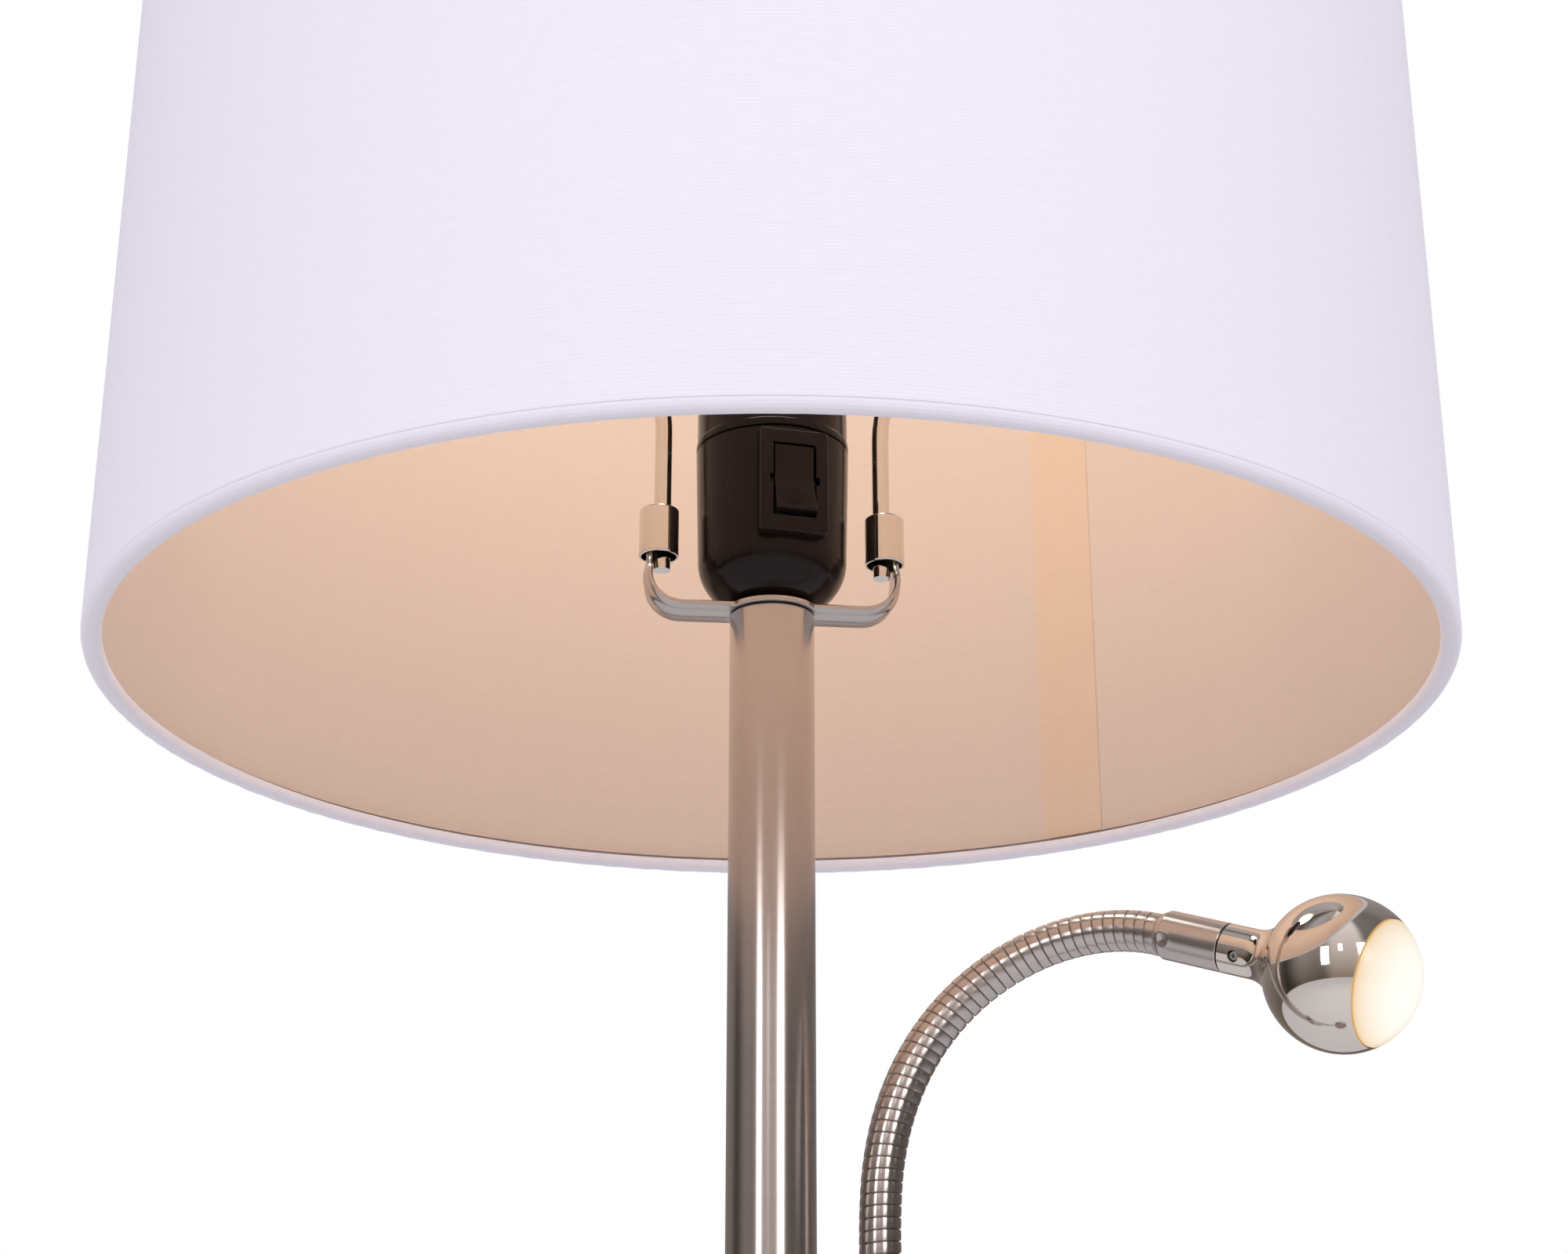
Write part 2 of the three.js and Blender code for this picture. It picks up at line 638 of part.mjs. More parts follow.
function socketCap() {
  const cup = solid(turned([...capSkin(0), ...capSkin(SOCKET_WALL).reverse()], 24));
  const inner = socketRadius - SOCKET_WALL;
  const depth = bezelFace - inner - BEZEL_SET;
  const frame = block(BEZEL_WIDTH, depth, BEZEL_HEIGHT, 0, -bezelFace + depth / 2, bezelMiddle);
  const windowWidth = ROCKER_WIDTH + 2 * ROCKER_SIDE_CLEAR;
  const windowHeight = ROCKER_HEIGHT + 4 * GAP;
  const opening = block(windowWidth, WINDOW_DEPTH, windowHeight, 0, -bezelFace, bezelMiddle);
  const notchWidth = windowWidth + 2 * (ROCKER_PIN_REACH + GAP);
  const notchHeight = ROCKER_PIN_OD + 2 * GAP;
  const notch = block(notchWidth, WINDOW_DEPTH, notchHeight, 0, -bezelFace, bezelMiddle);
  const cap = cup.add(solid(frame)).subtract(solid(opening)).subtract(solid(notch));
  return geometryOf(cap);
}

// The rocker about its pivot: +X of the outline points out of the bezel, +Y points up.
function rocker() {
  const half = ROCKER_HEIGHT / 2;
  const lip = ROCKER_CREST + half * Math.tan(rad(ROCKER_TILT));
  const outline = new THREE.Shape();
  outline.moveTo(ROCKER_CREST, 0);
  outline.lineTo(lip, half);
  outline.lineTo(0, half);
  outline.lineTo(-ROCKER_DEPTH, half * 0.75);
  outline.lineTo(-ROCKER_DEPTH, -half * 0.75);
  outline.lineTo(0, -half);
  outline.lineTo(lip, -half);
  const body = new THREE.ExtrudeGeometry(outline, { depth: ROCKER_WIDTH, bevelEnabled: false });
  body.translate(0, 0, -ROCKER_WIDTH / 2);
  const pinLength = ROCKER_WIDTH + 2 * ROCKER_PIN_REACH;
  const pin = new THREE.CylinderGeometry(ROCKER_PIN_OD / 2, ROCKER_PIN_OD / 2, pinLength, 12);
  pin.rotateX(Math.PI / 2);
  return geometryOf(solid(body).add(solid(pin)));
}

function placeRocker(socket) {
  const mesh = add(socket, 'rocker', rocker(), 'phenolic');
  const out = new THREE.Vector3(0, -1, 0);
  const up = new THREE.Vector3(0, 0, 1);
  mesh.quaternion.setFromRotationMatrix(new THREE.Matrix4().makeBasis(out, up, out.clone().cross(up)));
  mesh.rotateZ(rad(ROCKER_TILT));
  mesh.position.set(0, -rockerPivot, bezelMiddle);
}

function bulbGlobe() {
  const top = bulbTip + BULB_LENGTH;
  const centre = top - BULB_OD / 2;
  const neck = bulbTip + BULB_CAP_LENGTH + GAP;
  const skin = (inset) => [
    [BULB_CAP_OD / 2 - inset, neck],
    [BULB_CAP_OD / 2 + BULB_NECK_FLARE - inset, neck + BULB_NECK_LENGTH],
    ...arc(0, centre, BULB_OD / 2 - inset, -40, 90, 7),
  ];
  return turned([...skin(0), ...skin(BULB_GLASS).reverse()], 20);
}

function bulbCap() {
  const shoulder = bulbTip + BULB_TIP_RISE;
  return turned([
    [0, bulbTip],
    [BULB_TIP_OD / 2, bulbTip],
    [BULB_CAP_OD / 2 - GAP, shoulder],
    [BULB_CAP_OD / 2 - GAP, bulbTip + BULB_CAP_LENGTH],
    [0, bulbTip + BULB_CAP_LENGTH],
  ]);
}

function buildSocket() {
  const socket = new THREE.Group();
  socket.rotation.z = rad(BEZEL_TURN);
  const nippleBottom = POLE_TOP - PLUG_LENGTH + NIPPLE_SHORT;
  const nipple = ring(NIPPLE_OD / 2, NIPPLE_BORE / 2, nippleBottom, socketNutTop, 16);
  const nut = hexNut(SOCKET_NUT_ACROSS, nippleHole, socketNutBottom, socketNutTop);
  add(socket, 'socket_nipple', nipple, 'steel');
  add(socket, 'socket_nut', nut, 'steel');
  add(socket, 'socket_cap', socketCap(), 'phenolic');
  const shellTop = socketSeam + GAP + SOCKET_SHELL_HEIGHT;
  const shellInner = socketRadius - SOCKET_WALL;
  add(socket, 'socket_shell', ring(socketRadius, shellInner, socketSeam + GAP, shellTop, 24), 'phenolic');
  add(socket, 'socket_core', rod(CORE_OD / 2, coreBottom, coreTop), 'plastic');
  const threadBottom = coreTop + GAP;
  const screwShellOuter = screwShellInner + SCREW_SHELL_WALL;
  const threadTop = threadBottom + SCREW_SHELL_HEIGHT;
  add(socket, 'screw_shell', ring(screwShellOuter, screwShellInner, threadBottom, threadTop), 'brass');
  const contactTop = threadBottom + CONTACT_HEIGHT;
  add(socket, 'centre_contact', rod(CONTACT_OD / 2, threadBottom, contactTop, 12), 'brass');
  placeRocker(socket);
  add(socket, 'bulb_cap', bulbCap(), 'aluminium');
  add(socket, 'bulb_globe', bulbGlobe(), 'glass');
  return socket;
}

// ---- Shade -------------------------------------------------------------------------------------

// A hem's open section: fabric wrapped round a wire, from the outer skin past the rim to the inside.
function hem(wrap) {
  const outer = HEM_OD / 2;
  const around = arc(hemCentre, outer, outer, 0, -wrap, 3);
  const back = arc(hemCentre, outer, outer - HEM_WALL, -wrap, 0, 3);
  return turned([...around, ...back].reverse(), WIDE_ROUND);
}

function wireRing() {
  const section = arc(hemCentre, HEM_OD / 2, SHADE_RING_OD / 2, 0, 300, 5);
  return turned(section, WIDE_ROUND);
}

// The spider: three spokes welded to the top ring and to a washer that sits on the harp.
function spider() {
  const ringHeight = shadeTop - HEM_OD / 2;
  const hubHigh = hubSeat + SPIDER_HUB_THICKNESS;
  const flipped = wireRing().translate(0, 0, -HEM_OD / 2);
  let body = solid(flipped).translate([0, 0, ringHeight]);
  const hub = ring(SPIDER_HUB_OD / 2, HARP_STUD_OD / 2 + GAP, hubSeat, hubHigh);
  body = body.add(solid(hub));
  const inner = SPIDER_HUB_OD / 2 - SPIDER_WELD;
  const low = hubHigh - SPIDER_SPOKE_OD / 2 - SPIDER_SPOKE_SET;
  const high = ringHeight - SHADE_RING_OD / 2 - SPIDER_SPOKE_SET;
  for (let i = 0; i < SPIDER_SPOKES; i += 1) {
    const a = rad(90 + (360 * i) / SPIDER_SPOKES);
    const at = (r, z) => new THREE.Vector3(r * Math.cos(a), r * Math.sin(a), z);
    const bend = (SPIDER_RUN + hemCentre) / 2;
    const nearRing = low + (high - low) * SPIDER_LIFT;
    const rise = [at(SPIDER_RUN, low), at(bend, low), at(bend, nearRing), at(hemCentre, high)];
    const spoke = new THREE.CurvePath();
    spoke.add(new THREE.LineCurve3(at(inner, low), rise[0]));
    spoke.add(new THREE.CubicBezierCurve3(...rise));
    body = body.add(solid(swept(spoke, SPIDER_SPOKE_OD / 2, 6, 10)));
  }
  return geometryOf(body);
}

function buildShade() {
  const shade = new THREE.Group();
  const outer = SHADE_OD / 2;
  const hemRadius = HEM_OD / 2;
  const wallLow = shadeRim + hemRadius + GAP;
  const wallHigh = shadeTop - hemRadius - GAP;
  const linerOuter = outer - SHADE_FABRIC - GAP;
  const linerLow = shadeRim + HEM_OD;
  const linerHigh = shadeTop - HEM_OD;
  const fabric = ring(outer, outer - SHADE_FABRIC, wallLow, wallHigh, WIDE_ROUND);
  const liner = ring(linerOuter, linerOuter - SHADE_LINER, linerLow, linerHigh, WIDE_ROUND);
  add(shade, 'shade_fabric', fabric, 'fabric');
  add(shade, 'shade_liner', liner, 'liner');
  add(shade, 'shade_hem_bottom', hem(200), 'fabric').position.z = shadeRim;
  const topHem = add(shade, 'shade_hem_top', hem(150), 'fabric');
  topHem.rotation.x = Math.PI;
  topHem.position.z = shadeTop;
  add(shade, 'shade_ring_bottom', wireRing(), 'steel').position.z = shadeRim;
  add(shade, 'shade_spider', spider(), 'steel');
  add(shade, 'finial', finial(), 'nickel');
  return shade;
}

// ---- Reading arm -------------------------------------------------------------------------------

// The arm's direction at a share of its arc.
function armDirection(share) {
  const eased = share * (1 - ARM_EASE) + share * share * ARM_EASE;
  const tilt = rad(ARM_TURN * eased);
  const heading = rad(ARM_HEADING_START + (ARM_HEADING_END - ARM_HEADING_START) * eased);
  const flat = Math.sin(tilt);
  return new THREE.Vector3(flat * Math.cos(heading), flat * Math.sin(heading), Math.cos(tilt));
}

const linkLength = ARM_ARC / ARM_LINKS;
const linkSlope = Math.tan(rad(LINK_END_SLOPE));

// A bevelled end of a link, as [radius, height above the joint] points from the bore outwards.
function linkEnd(radius) {
  const lip = ARM_BORE / 2 + LINK_END_WALL;
  return [
    [ARM_BORE / 2, LINK_END_GAP],
    [lip, LINK_END_GAP],
    [radius, LINK_END_GAP + (radius - lip) * linkSlope],
  ];
}

function link(length, startsFlat) {
  const radius = ARM_OD / 2;
  const start = startsFlat ? [[ARM_BORE / 2, 0], [radius, 0]] : linkEnd(radius);
  const end = linkEnd(radius).reverse().map(([r, z]) => [r, length - z]);
  return turned([...start, ...end], ARM_SIDES);
}

function armHub() {
  const big = poleRadius + HUB_WALL;
  const small = HUB_BOSS_OD / 2;
  const lean = Math.acos((big - small) / armX);
  const outline = new THREE.Shape();
  outline.absarc(0, 0, big, lean, 2 * Math.PI - lean, false);
  outline.absarc(armX, 0, small, -lean, lean, false);
  const options = { depth: HUB_HEIGHT, bevelEnabled: false, curveSegments: 12 };
  const body = new THREE.ExtrudeGeometry(outline, options).translate(0, 0, hubBottom);
  const poleHole = rod(poleRadius + GAP, hubBottom - 1, hubTop + 1);
  const tailHole = rod(ARM_FOOT_TAIL_OD / 2 + GAP, hubBottom - 1, hubTop + 1).translate(armX, 0, 0);
  const screwHole = rod(HUB_SCREW_OD / 2 + GAP, 0, big + 5, 16).rotateY(-Math.PI / 2);
  screwHole.translate(0, 0, hubBottom + HUB_HEIGHT / 2);
  const cuts = solid(poleHole).add(solid(tailHole)).add(solid(screwHole));
  return geometryOf(solid(body).subtract(cuts));
}

function armFoot() {
  const tail = ARM_FOOT_TAIL_OD / 2;
  const flangeLow = hubTop + GAP;
  const flangeHigh = flangeLow + ARM_FOOT_HEIGHT;
  return turned([
    [ARM_BORE / 2, hubBottom - ARM_FOOT_TAIL_DROP],
    [tail, hubBottom - ARM_FOOT_TAIL_DROP],
    [tail, flangeLow],
    [ARM_FOOT_OD / 2, flangeLow],
    [ARM_FOOT_OD / 2, flangeHigh - 2],
    [ARM_FOOT_OD / 2 - 1, flangeHigh],
    [armHole, flangeHigh],
    [armHole, flangeLow + ARM_FOOT_FLOOR],
    [ARM_BORE / 2, flangeLow + ARM_FOOT_FLOOR],
  ]);
}

function switchHousing() {
  const outer = HUB_BOSS_OD / 2;
  const top = hubBottom - GAP;
  const bottom = hubBottom - HOUSING_DEPTH;
  const hole = BUTTON_OD / 2 + GAP;
  return turned([
    [hole, bottom],
    [outer - 2, bottom],
    [outer, bottom + 2],
    [outer, top],
    [outer - HOUSING_WALL, top],
    [outer - HOUSING_WALL, bottom + HOUSING_WALL + 0.6],
    [hole, bottom + HOUSING_WALL],
  ]);
}

function switchButton() {
  const floor = hubBottom - HOUSING_DEPTH + HOUSING_WALL + 0.6 + GAP;
  const tip = hubBottom - HOUSING_DEPTH - BUTTON_PROUD;
  const flangeTop = floor + BUTTON_FLANGE;
  return turned([
    [0, tip],
    [BUTTON_OD / 2 - 1, tip],
    [BUTTON_OD / 2, tip + 1],
    [BUTTON_OD / 2, floor],
    [BUTTON_FLANGE_OD / 2, floor],
    [BUTTON_FLANGE_OD / 2, flangeTop],
    [BUTTON_PLUNGER_OD / 2, flangeTop],
    [BUTTON_PLUNGER_OD / 2, flangeTop + BUTTON_PLUNGER],
    [0, flangeTop + BUTTON_PLUNGER],
  ]);
}

function buildArmMount(arm) {
  const hubMiddle = hubBottom + HUB_HEIGHT / 2;
  const screw = rod(HUB_SCREW_OD / 2, poleRadius + GAP, poleRadius + HUB_WALL - 0.5, 12);
  screw.rotateY(-Math.PI / 2).translate(-armX, 0, hubMiddle);
  const nutTop = hubBottom - GAP;
  const tailHole = ARM_FOOT_TAIL_OD / 2 + GAP;
  const switchBottom = hubBottom - SWITCH_TOP - SWITCH_HEIGHT;
  const switchBody = rod(SWITCH_OD / 2, switchBottom, hubBottom - SWITCH_TOP, 16);
  add(arm, 'arm_hub', armHub().translate(-armX, 0, 0), 'nickel');
  add(arm, 'hub_screw', screw, 'steel');
  add(arm, 'arm_foot', armFoot(), 'nickel');
  add(arm, 'arm_nut', hexNut(ARM_NUT_ACROSS, tailHole, nutTop - ARM_NUT_HEIGHT, nutTop), 'steel');
  add(arm, 'switch_housing', switchHousing(), 'nickel');
  add(arm, 'switch_body', switchBody, 'plastic');
  add(arm, 'switch_button', switchButton(), 'phenolic');
}

const axisZ = new THREE.Vector3(0, 0, 1);

function buildGooseneck(arm) {
  const stemLow = hubTop + GAP + ARM_FOOT_FLOOR + GAP;
  const stem = link(armBendStart - stemLow, true);
  add(arm, 'arm_stem', stem, 'nickel').position.z = stemLow;
  const place = new THREE.Vector3(0, 0, armBendStart);
  for (let i = 1; i <= ARM_LINKS; i += 1) {
    const direction = armDirection((i - 0.5) / ARM_LINKS);
    const mesh = add(arm, `arm_link_${i}`, link(linkLength, false), 'nickel');
    mesh.quaternion.setFromUnitVectors(axisZ, direction);
    mesh.position.copy(place);
    place.addScaledVector(direction, linkLength);
  }
  return place;
}

// ---- Reading head, built along +Z from the arm's end ---------------------------------------------

const sleeveRadius = armHole + SLEEVE_WALL - GAP;
const neckBottom = SLEEVE_LENGTH + GAP;
const ballRadius = HEAD_OD / 2;
const ballCentre = SLEEVE_LENGTH + HEAD_REACH;

function headSleeve() {
  const end = linkEnd(ARM_OD / 2);
  const coneTop = end.at(-1)[1] + SLEEVE_CONE;
  return turned([
    ...end,
    [sleeveRadius, coneTop],
    [sleeveRadius, SLEEVE_LENGTH],
    [ARM_BORE / 2, SLEEVE_LENGTH],
  ]);
}

function headShell() {
  const rimHeight = HEAD_RIM * ballRadius;
  const reach = ballRadius + NECK_FILLET;
  const filletR = sleeveRadius + NECK_FILLET;
  const filletZ = ballCentre - Math.sqrt(reach * reach - filletR * filletR);
  const meet = THREE.MathUtils.radToDeg(Math.atan2(ballCentre - filletZ, -filletR));
  const start = THREE.MathUtils.radToDeg(Math.atan2(filletZ - ballCentre, filletR));
  const rim = THREE.MathUtils.radToDeg(Math.asin(HEAD_RIM));
  const inner = ballRadius - HEAD_WALL;
  const innerRim = THREE.MathUtils.radToDeg(Math.asin(rimHeight / inner));
  const innerStart = -THREE.MathUtils.radToDeg(Math.acos(ARM_BORE / 2 / inner));
  const shell = turned(
    [
      [ARM_BORE / 2, neckBottom],
      [sleeveRadius, neckBottom],
      ...arc(filletR, filletZ, NECK_FILLET, 180, meet, 3),
      ...arc(0, ballCentre, ballRadius, start, rim, 7).slice(1),
      ...arc(0, ballCentre, inner, innerRim, innerStart, 6),
    ],
    20,
  );
  const hole = rod(HEAD_SCREW_OD / 2 + GAP, 0, sleeveRadius + 2, 12).rotateY(Math.PI / 2);
  return geometryOf(solid(shell).subtract(solid(hole.translate(0, 0, neckBottom + HEAD_SCREW_HEIGHT))));
}

function lens() {
  const low = HEAD_RIM * ballRadius + GAP;
  const skin = (radius) => {
    const edge = THREE.MathUtils.radToDeg(Math.asin(low / radius));
    return arc(0, ballCentre, radius, edge, 90, 4);
  };
  return turned([...skin(ballRadius), ...skin(ballRadius - HEAD_WALL).reverse()], 20);
}

function buildHead(arm, place) {
  const head = new THREE.Group();
  const along = armDirection(1);
  const side = HEAD_FACING.clone().addScaledVector(along, -HEAD_FACING.dot(along)).normalize();
  const basis = new THREE.Matrix4().makeBasis(side, along.clone().cross(side), along);
  head.quaternion.setFromRotationMatrix(basis);
  head.position.copy(place);
  arm.add(head);
  const screwEnd = sleeveRadius - 0.4;
  const screw = rod(HEAD_SCREW_OD / 2, screwEnd - HEAD_SCREW_LENGTH, screwEnd, 12).rotateY(Math.PI / 2);
  screw.translate(0, 0, neckBottom + HEAD_SCREW_HEIGHT);
  const boardLow = ballCentre + BOARD_HEIGHT;
  const sinkHigh = boardLow - GAP;
  const wireHole = ARM_BORE / 2;
  add(head, 'head_sleeve', headSleeve(), 'nickel');
  add(head, 'head_shell', headShell(), 'chrome');
  add(head, 'head_screw', screw, 'steel');
  add(head, 'heat_sink', ring(SINK_OD / 2, wireHole, sinkHigh - SINK_HEIGHT, sinkHigh), 'aluminium');
  add(head, 'led_board', rod(BOARD_OD / 2, boardLow, boardLow + BOARD_THICKNESS), 'board');
  add(head, 'lens', lens(), 'lens');
}

function buildReadingLight() {
  const arm = new THREE.Group();
  arm.position.x = armX;
  buildArmMount(arm);
  buildHead(arm, buildGooseneck(arm));
  return arm;
}

lamp.add(buildBase(), buildPole(), buildHarp(), buildSocket(), buildShade(), buildReadingLight());

export default lamp;
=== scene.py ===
"""Pharmacy floor lamp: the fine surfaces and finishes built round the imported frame."""
import json
import logging
import math
from dataclasses import dataclass
from enum import Enum
from typing import Sequence

import bmesh
import bpy
import numpy as np
from mathutils import Matrix, Vector

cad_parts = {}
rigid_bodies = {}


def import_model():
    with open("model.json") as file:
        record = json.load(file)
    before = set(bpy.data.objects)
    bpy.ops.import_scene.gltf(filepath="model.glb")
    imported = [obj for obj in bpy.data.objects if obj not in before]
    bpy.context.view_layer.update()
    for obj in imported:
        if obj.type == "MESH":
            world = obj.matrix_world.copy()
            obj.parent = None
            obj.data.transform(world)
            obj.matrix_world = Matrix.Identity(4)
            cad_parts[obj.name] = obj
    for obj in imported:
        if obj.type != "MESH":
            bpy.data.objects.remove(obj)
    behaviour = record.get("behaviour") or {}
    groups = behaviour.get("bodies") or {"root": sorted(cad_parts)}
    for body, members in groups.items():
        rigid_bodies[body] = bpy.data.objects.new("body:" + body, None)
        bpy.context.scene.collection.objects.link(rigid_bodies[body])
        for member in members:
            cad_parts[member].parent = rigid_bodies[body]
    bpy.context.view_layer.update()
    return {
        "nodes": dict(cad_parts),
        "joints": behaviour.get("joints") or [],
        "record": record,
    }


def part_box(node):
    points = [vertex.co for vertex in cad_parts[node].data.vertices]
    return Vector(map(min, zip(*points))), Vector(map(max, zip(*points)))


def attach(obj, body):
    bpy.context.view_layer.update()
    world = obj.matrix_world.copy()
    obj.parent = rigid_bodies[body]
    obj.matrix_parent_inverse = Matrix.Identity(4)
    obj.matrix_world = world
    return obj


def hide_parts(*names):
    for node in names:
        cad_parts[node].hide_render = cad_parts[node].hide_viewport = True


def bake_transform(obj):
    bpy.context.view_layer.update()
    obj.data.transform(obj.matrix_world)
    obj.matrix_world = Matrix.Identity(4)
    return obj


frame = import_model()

MM = 0.001
NEAR_AXIS = 1e-7
CREASE = math.radians(38)
UP = Vector((0, 0, 1))
Outline = list[tuple[float, float]]
Colour = tuple[float, float, float]
log = logging.getLogger("lamp")


class Slot(str, Enum):
    """The record's material slots."""

    NICKEL = "nickel"
    CHROME = "chrome"
    STEEL = "steel"
    IRON = "iron"
    BRASS = "brass"
    ALUMINIUM = "aluminium"
    PHENOLIC = "phenolic"
    PLASTIC = "plastic"
    RUBBER = "rubber"
    FABRIC = "fabric"
    LINER = "liner"
    BULB = "bulb_glass"
    LENS = "lens"
    BOARD = "board"


# ---- Node trees -----------------------------------------------------------------------------------


class NodeTree:
    """A node tree while it is being put together."""

    def __init__(self, tree: bpy.types.NodeTree) -> None:
        """Starts on a tree."""
        self.tree = tree

    def link(self, source: bpy.types.NodeSocket, target: bpy.types.NodeSocket) -> None:
        """Joins two sockets."""
        self.tree.links.new(source, target)

    def feed(self, node: bpy.types.Node, inputs: dict) -> None:
        """Feeds some of a node's inputs.

        Args:
            node: the node.
            inputs: a socket or a fixed value for each input, by name or number.
        """
        for key, value in inputs.items():
            if isinstance(value, bpy.types.NodeSocket):
                self.link(value, node.inputs[key])
            else:
                node.inputs[key].default_value = value

    def node(self, kind: str, inputs: dict | None = None, **settings: object) -> bpy.types.Node:
        """Adds a node.

        Args:
            kind: the node's type name.
            inputs: a socket or a fixed value for each input that is fed, by name or number.
            settings: attributes to set on the node.

        Returns:
            The new node.
        """
        made = self.tree.nodes.new(kind)
        for key, value in settings.items():
            setattr(made, key, value)
        self.feed(made, inputs or {})
        return made

    def math(self, operation: str, *values: object) -> bpy.types.NodeSocket:
        """Applies a Math node to sockets or numbers and returns its value."""
        return self.node("ShaderNodeMath", dict(enumerate(values)), operation=operation).outputs[0]

    def separate(self, vector: bpy.types.NodeSocket) -> bpy.types.bpy_prop_collection:
        """Splits a vector and returns its three outputs."""
        return self.node("ShaderNodeSeparateXYZ", {0: vector}).outputs

    def remap(self, value: bpy.types.NodeSocket, source: Sequence, target: Sequence) -> bpy.types.NodeSocket:
        """Maps a value from one range to another, without leaving the target range."""
        limits = zip(("From Min", "From Max", "To Min", "To Max"), (*source, *target))
        return self.node("ShaderNodeMapRange", {"Value": value, **dict(limits)}).outputs["Result"]

    def blend(self, share: bpy.types.NodeSocket, low: Colour, high: Colour) -> bpy.types.NodeSocket:
        """Mixes two colours.

        Args:
            share: the second colour's share.
            low: the first colour.
            high: the second colour.

        Returns:
            The mixed colour.
        """
        ramp = self.node("ShaderNodeValToRGB", {"Fac": share})
        for element, colour in zip(ramp.color_ramp.elements, (low, high)):
            element.color = (*colour, 1.0)
        return ramp.outputs["Color"]

    def multiplied(self, colour: bpy.types.NodeSocket, by: object, share: object) -> bpy.types.NodeSocket:
        """Multiplies a colour by another one, a share of the way, and returns the product."""
        inputs = {"Factor": share, 6: colour, 7: by}
        return self.node("ShaderNodeMix", inputs, data_type="RGBA", blend_type="MULTIPLY").outputs[2]


class Shader(NodeTree):
    """A node material while it is being put together."""

    def __init__(self, name: str) -> None:
        """Starts an empty material with a Principled shader.

        Args:
            name: the material's name.
        """
        self.material = bpy.data.materials.new(name)
        self.material.use_nodes = True
        super().__init__(self.material.node_tree)
        self.tree.nodes.clear()
        self.bsdf = self.node("ShaderNodeBsdfPrincipled")
        self.node("ShaderNodeOutputMaterial", {"Surface": self.bsdf.outputs["BSDF"]})

    def surface(self, **values: object) -> None:
        """Feeds the Principled shader's own inputs, with _ standing for a space in their names."""
        self.feed(self.bsdf, {key.replace("_", " "): value for key, value in values.items()})

    def attribute(self, name: str, output: str = "Vector") -> bpy.types.NodeSocket:
        """Returns one output of one of the piece's own attributes."""
        return self.node("ShaderNodeAttribute", attribute_name=name).outputs[output]

    def object_coords(self) -> bpy.types.NodeSocket:
        """Returns the Object coordinates."""
        return self.node("ShaderNodeTexCoord").outputs["Object"]

    def uv(self) -> bpy.types.NodeSocket:
        """Returns the piece's own UV coordinates."""
        return self.node("ShaderNodeUVMap", uv_map="UVMap").outputs["UV"]

    def scaled(self, vector: bpy.types.NodeSocket, by: Sequence[float]) -> bpy.types.NodeSocket:
        """Multiplies a vector by three factors and returns the product."""
        return self.node("ShaderNodeVectorMath", {0: vector, 1: by}, operation="MULTIPLY").outputs[0]

    def noise(self, vector: bpy.types.NodeSocket, scale: float, detail: float) -> bpy.types.NodeSocket:
        """Returns a noise value over the given coordinates."""
        inputs = {"Vector": vector, "Scale": scale, "Detail": detail}
        return self.node("ShaderNodeTexNoise", inputs).outputs["Fac"]

    def bump(self, height: bpy.types.NodeSocket, strength: float, depth: float) -> None:
        """Raises the surface by a height pattern, on top of any bump made before.

        Args:
            height: the pattern.
            strength: how much of it shows.
            depth: the height of its highest points.
        """
        node = self.node("ShaderNodeBump", {"Strength": strength, "Distance": depth, "Height": height})
        normal = self.bsdf.inputs["Normal"]
        if normal.is_linked:
            self.link(normal.links[0].from_socket, node.inputs["Normal"])
        self.link(node.outputs["Normal"], normal)


@dataclass(frozen=True)
class BrushedMetal:
    """Metal brushed round its axis: fine rings of scratches under a satin sheen."""

    name: str
    dark: Colour
    light: Colour
    roughness: tuple[float, float] = (0.22, 0.26)
    line: float = 0.13 * MM
    relief: float = 0.0003 * MM
    anisotropy: float = 0.75

    def material(self) -> bpy.types.Material:
        """Makes the material.

        Returns:
            The material.
        """
        s = Shader(self.name)
        s.surface(Metallic=1.0, Anisotropic=self.anisotropy, Anisotropic_Rotation=0.25)
        lay = s.attribute("lay")
        rings = s.noise(s.scaled(lay, (0.8, 0.8, 1 / self.line)), 1.0, 3.0)
        drift = s.noise(s.scaled(lay, (0.5, 0.5, 90.0)), 1.0, 3.0)
        shade = s.math("ADD", s.math("MULTIPLY", rings, 0.6), s.math("MULTIPLY", drift, 0.4))
        s.surface(Base_Color=s.blend(shade, self.dark, self.light))
        s.surface(Roughness=s.remap(rings, (0.3, 0.7), self.roughness))
        s.surface(Tangent=s.node("ShaderNodeTangent", direction_type="UV_MAP", uv_map="UVMap").outputs[0])
        s.bump(rings, 0.6, self.relief)
        return s.material


@dataclass(frozen=True)
class PolishedMetal:
    """Bright metal with faint smears and hairline scratches."""

    name: str
    tint: Colour
    roughness: tuple[float, float] = (0.035, 0.11)

    def material(self) -> bpy.types.Material:
        """Makes the material.

        Returns:
            The material.
        """
        s = Shader(self.name)
        s.surface(Metallic=1.0)
        place = s.object_coords()
        smear = s.noise(s.scaled(place, (1.0, 1.0, 2.2)), 95.0, 4.0)
        hair = s.noise(s.scaled(place, (900.0, 900.0, 5200.0)), 1.0, 2.0)
        darker = tuple(0.93 * c for c in self.tint)
        s.surface(Base_Color=s.blend(smear, darker, self.tint))
        s.surface(Roughness=s.remap(smear, (0.35, 0.75), self.roughness))
        s.bump(hair, 0.12, 0.004 * MM)
        return s.material


